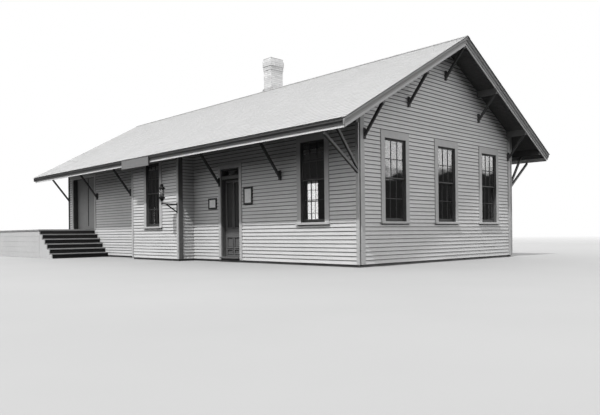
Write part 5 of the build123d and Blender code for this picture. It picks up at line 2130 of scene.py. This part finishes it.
class WorldSheet(StudioSheet):
    """The node tree of the world."""

    def __init__(self, name: str) -> None:
        """Start a world with an output and the direction of each ray.

        Args:
            name: The world's name.
        """
        world = bpy.data.worlds.new(name)
        world.use_nodes = True
        bpy.context.scene.world = world
        self.tree = world.node_tree
        self.tree.nodes.clear()
        self.node("OutputWorld", {})
        self.place = self.node("TexCoord", {}).outputs["Generated"]


@dataclass
class Studio:
    """Floor, light and camera.

    Attributes:
        location: Place of the camera.
        heading: The way it looks, level.
        roll: Turn of the picture, in degrees.
        lens: Focal length in millimetres on a 36 mm sensor.
        shift: Upward shift of the picture.
        sun_from: The way to the key light.
        sun_strength: Its strength.
        sun_angle: Its apparent width, in degrees.
        sky: Brightness of the even surround, just above its foot.
        high_sky: Share of that brightness overhead.
        end_sky: Its brightness beyond the two gables, against that across the track.
        low_sky: Sines of the heights at which it starts and is full, across the track.
        open_sides: How much lower it starts beyond the two gables.
        tall_trees: How much higher it starts off the building's near corner.
        floor_tone: Grey of the floor as it lights the walls.
        floor_seen: Grey of the floor as it is seen.
        seen_sky: Brightness of the sky that glass and metal show.
        horizon: Sine of the height at which reflections turn from dark to white, behind and ahead.
        crowns: How far that line rises and falls.
        floor_radius: Radius of the floor.
        fade: Distances at which the floor starts to fade and is white.
    """

    location: Point = (17.83, -14.818, 0.84)
    heading: Point = (-0.7227, 0.6911, 0.0)
    roll: float = -0.640
    lens: float = 36.23
    shift: float = 0.0429
    sun_from: Point = (0.309, -1.0, 1.70)
    sun_strength: float = 2.7
    sun_angle: float = 1.2
    sky: float = 1.55
    high_sky: float = 0.5
    end_sky: float = 1.35
    low_sky: Span = (0.15, 0.22)
    open_sides: float = 0.1
    tall_trees: float = 0.4
    floor_tone: float = 0.015
    floor_seen: float = 0.38
    seen_sky: float = 1.5
    horizon: Span = (0.21, 0.098)
    crowns: float = 0.06
    floor_radius: float = 140.0
    fade: Span = (24.0, 75.0)

    def floor(self) -> None:
        """Pale floor that fades into the white ground far away."""
        free_hands()
        disc = {"vertices": 96, "radius": self.floor_radius, "fill_type": "NGON", "location": (0, 0, -0.002)}
        bpy.ops.mesh.primitive_circle_add(**disc)
        floor = set_down(bpy.context.object)
        floor.name = "studio_floor"
        sheet = StudioSheet("studio_floor")
        x, y, _ = sheet.split(sheet.place)
        squares = [sheet.math("POWER", side, 2.0) for side in (x, y)]
        distance = sheet.math("SQRT", sheet.math("ADD", *squares))
        cloud = sheet.noise(sheet.place, scale=0.35, detail=3.0)
        seen = sheet.blend(cloud, grey(self.floor_seen - 0.02), grey(self.floor_seen + 0.02))
        sheet.colour(sheet.blend(sheet.path("Is Camera Ray"), grey(self.floor_tone), seen))
        sheet.roughness(0.95)
        faded = sheet.ramp(distance, (self.fade[0], 0.0), (self.fade[1], 1.0))
        far = sheet.math("MULTIPLY", faded, sheet.path("Is Camera Ray"))
        sheet.surface(sheet.either(far, sheet.shader.outputs[0], sheet.glow("Emission", grey(1.0))))
        floor.data.materials.append(sheet.material)

    def sun(self) -> None:
        """Key light from high over the track."""
        sun = bpy.data.lights.new("studio_key", "SUN")
        sun.energy = self.sun_strength
        sun.angle = math.radians(self.sun_angle)
        lamp = bpy.data.objects.new("studio_key", sun)
        bpy.context.scene.collection.objects.link(lamp)
        lamp.rotation_euler = Vector(self.sun_from).to_track_quat("Z", "Y").to_euler()

    def reflected(self, sheet: WorldSheet) -> Socket:
        """What glass and metal show: dark trees up to a line, then the white sky.

        Args:
            sheet: The world being made.

        Returns:
            The shader.
        """
        x, y, z = sheet.split(sheet.place)
        ahead = sheet.weighed((x, 0.6), (y, 0.8))
        trees = sheet.ramp(ahead, (-0.4, self.horizon[0]), (0.4, self.horizon[1]))
        crowns = sheet.math("SUBTRACT", sheet.noise(sheet.place, scale=60.0), 0.5)
        trees = sheet.math("ADD", trees, sheet.math("MULTIPLY", crowns, self.crowns))
        beyond = sheet.ramp(sheet.math("SUBTRACT", y, x), (1.0, 0.0), (1.15, 2.0))
        line = sheet.math("SUBTRACT", trees, beyond)
        over = sheet.ramp(sheet.math("SUBTRACT", z, line), (-0.008, 0.04), (0.008, self.seen_sky))
        return sheet.glow("Background", over)

    def surround(self, sheet: WorldSheet) -> Socket:
        """What lights the building: an even sky that starts above a line and dims overhead.

        Args:
            sheet: The world being made.

        Returns:
            The shader.
        """
        x, y, z = sheet.split(sheet.place)
        side = sheet.math("ABSOLUTE", x)
        lift = sheet.math("ADD", z, sheet.math("MULTIPLY", side, self.open_sides))
        towards = sheet.math("MULTIPLY", sheet.math("SUBTRACT", x, y), 0.707)
        lift = sheet.math("SUBTRACT", lift, sheet.ramp(towards, (0.65, 0.0), (0.9, self.tall_trees)))
        haze = sheet.ramp(lift, (self.low_sky[0], 0.0), (self.low_sky[1], self.sky))
        haze = sheet.math("MULTIPLY", haze, sheet.ramp(z, (0.2, 1.0), (0.9, self.high_sky)))
        haze = sheet.math("MULTIPLY", haze, sheet.ramp(side, (0.5, 1.0), (0.95, self.end_sky)))
        return sheet.glow("Background", haze)

    def world(self) -> None:
        """The surround for the walls, the horizon for glass and metal, and a white ground for the camera."""
        sheet = WorldSheet("studio_surround")
        shown = self.reflected(sheet)
        mirror = sheet.either(sheet.path("Is Glossy Ray"), self.surround(sheet), shown)
        clear = sheet.either(sheet.path("Is Transmission Ray"), mirror, shown)
        white = sheet.glow("Background", grey(1.0))
        sheet.surface(sheet.either(sheet.path("Is Camera Ray"), clear, white), "ShaderNodeOutputWorld")

    def camera(self) -> None:
        """Camera at the photograph's angle."""
        data = bpy.data.cameras.new("station_camera")
        data.lens = self.lens
        data.sensor_width = 36.0
        data.shift_y = self.shift
        data.clip_end = 500.0
        camera = bpy.data.objects.new("station_camera", data)
        bpy.context.scene.collection.objects.link(camera)
        camera.location = self.location
        look = Vector(self.heading).to_track_quat("-Z", "Y")
        camera.rotation_euler = (look @ Quaternion((0, 0, 1), math.radians(self.roll))).to_euler()
        bpy.context.scene.camera = camera

    def build(self) -> None:
        """Set the stage."""
        self.floor()
        self.sun()
        self.world()
        self.camera()
        bpy.context.scene.view_settings.view_transform = "Standard"


def main() -> None:
    """Dress the station and set it on its stage."""
    logging.basicConfig(level=logging.INFO, format="%(name)s: %(message)s")
    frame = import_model()
    Studio().build()
    KeptNodes().build(frame["nodes"])
    for assembly in (
        EasedTimber, Siding, Shingles, SoffitBoards, WindowBars, ChimneyBricks, PlatformBoards, FreightLeaf,
        DoorMouldings, LampArm, Lantern, Notices, Bolts,
    ):
        assembly().build()
    free_hands()


if __name__ == "__main__":
    main()
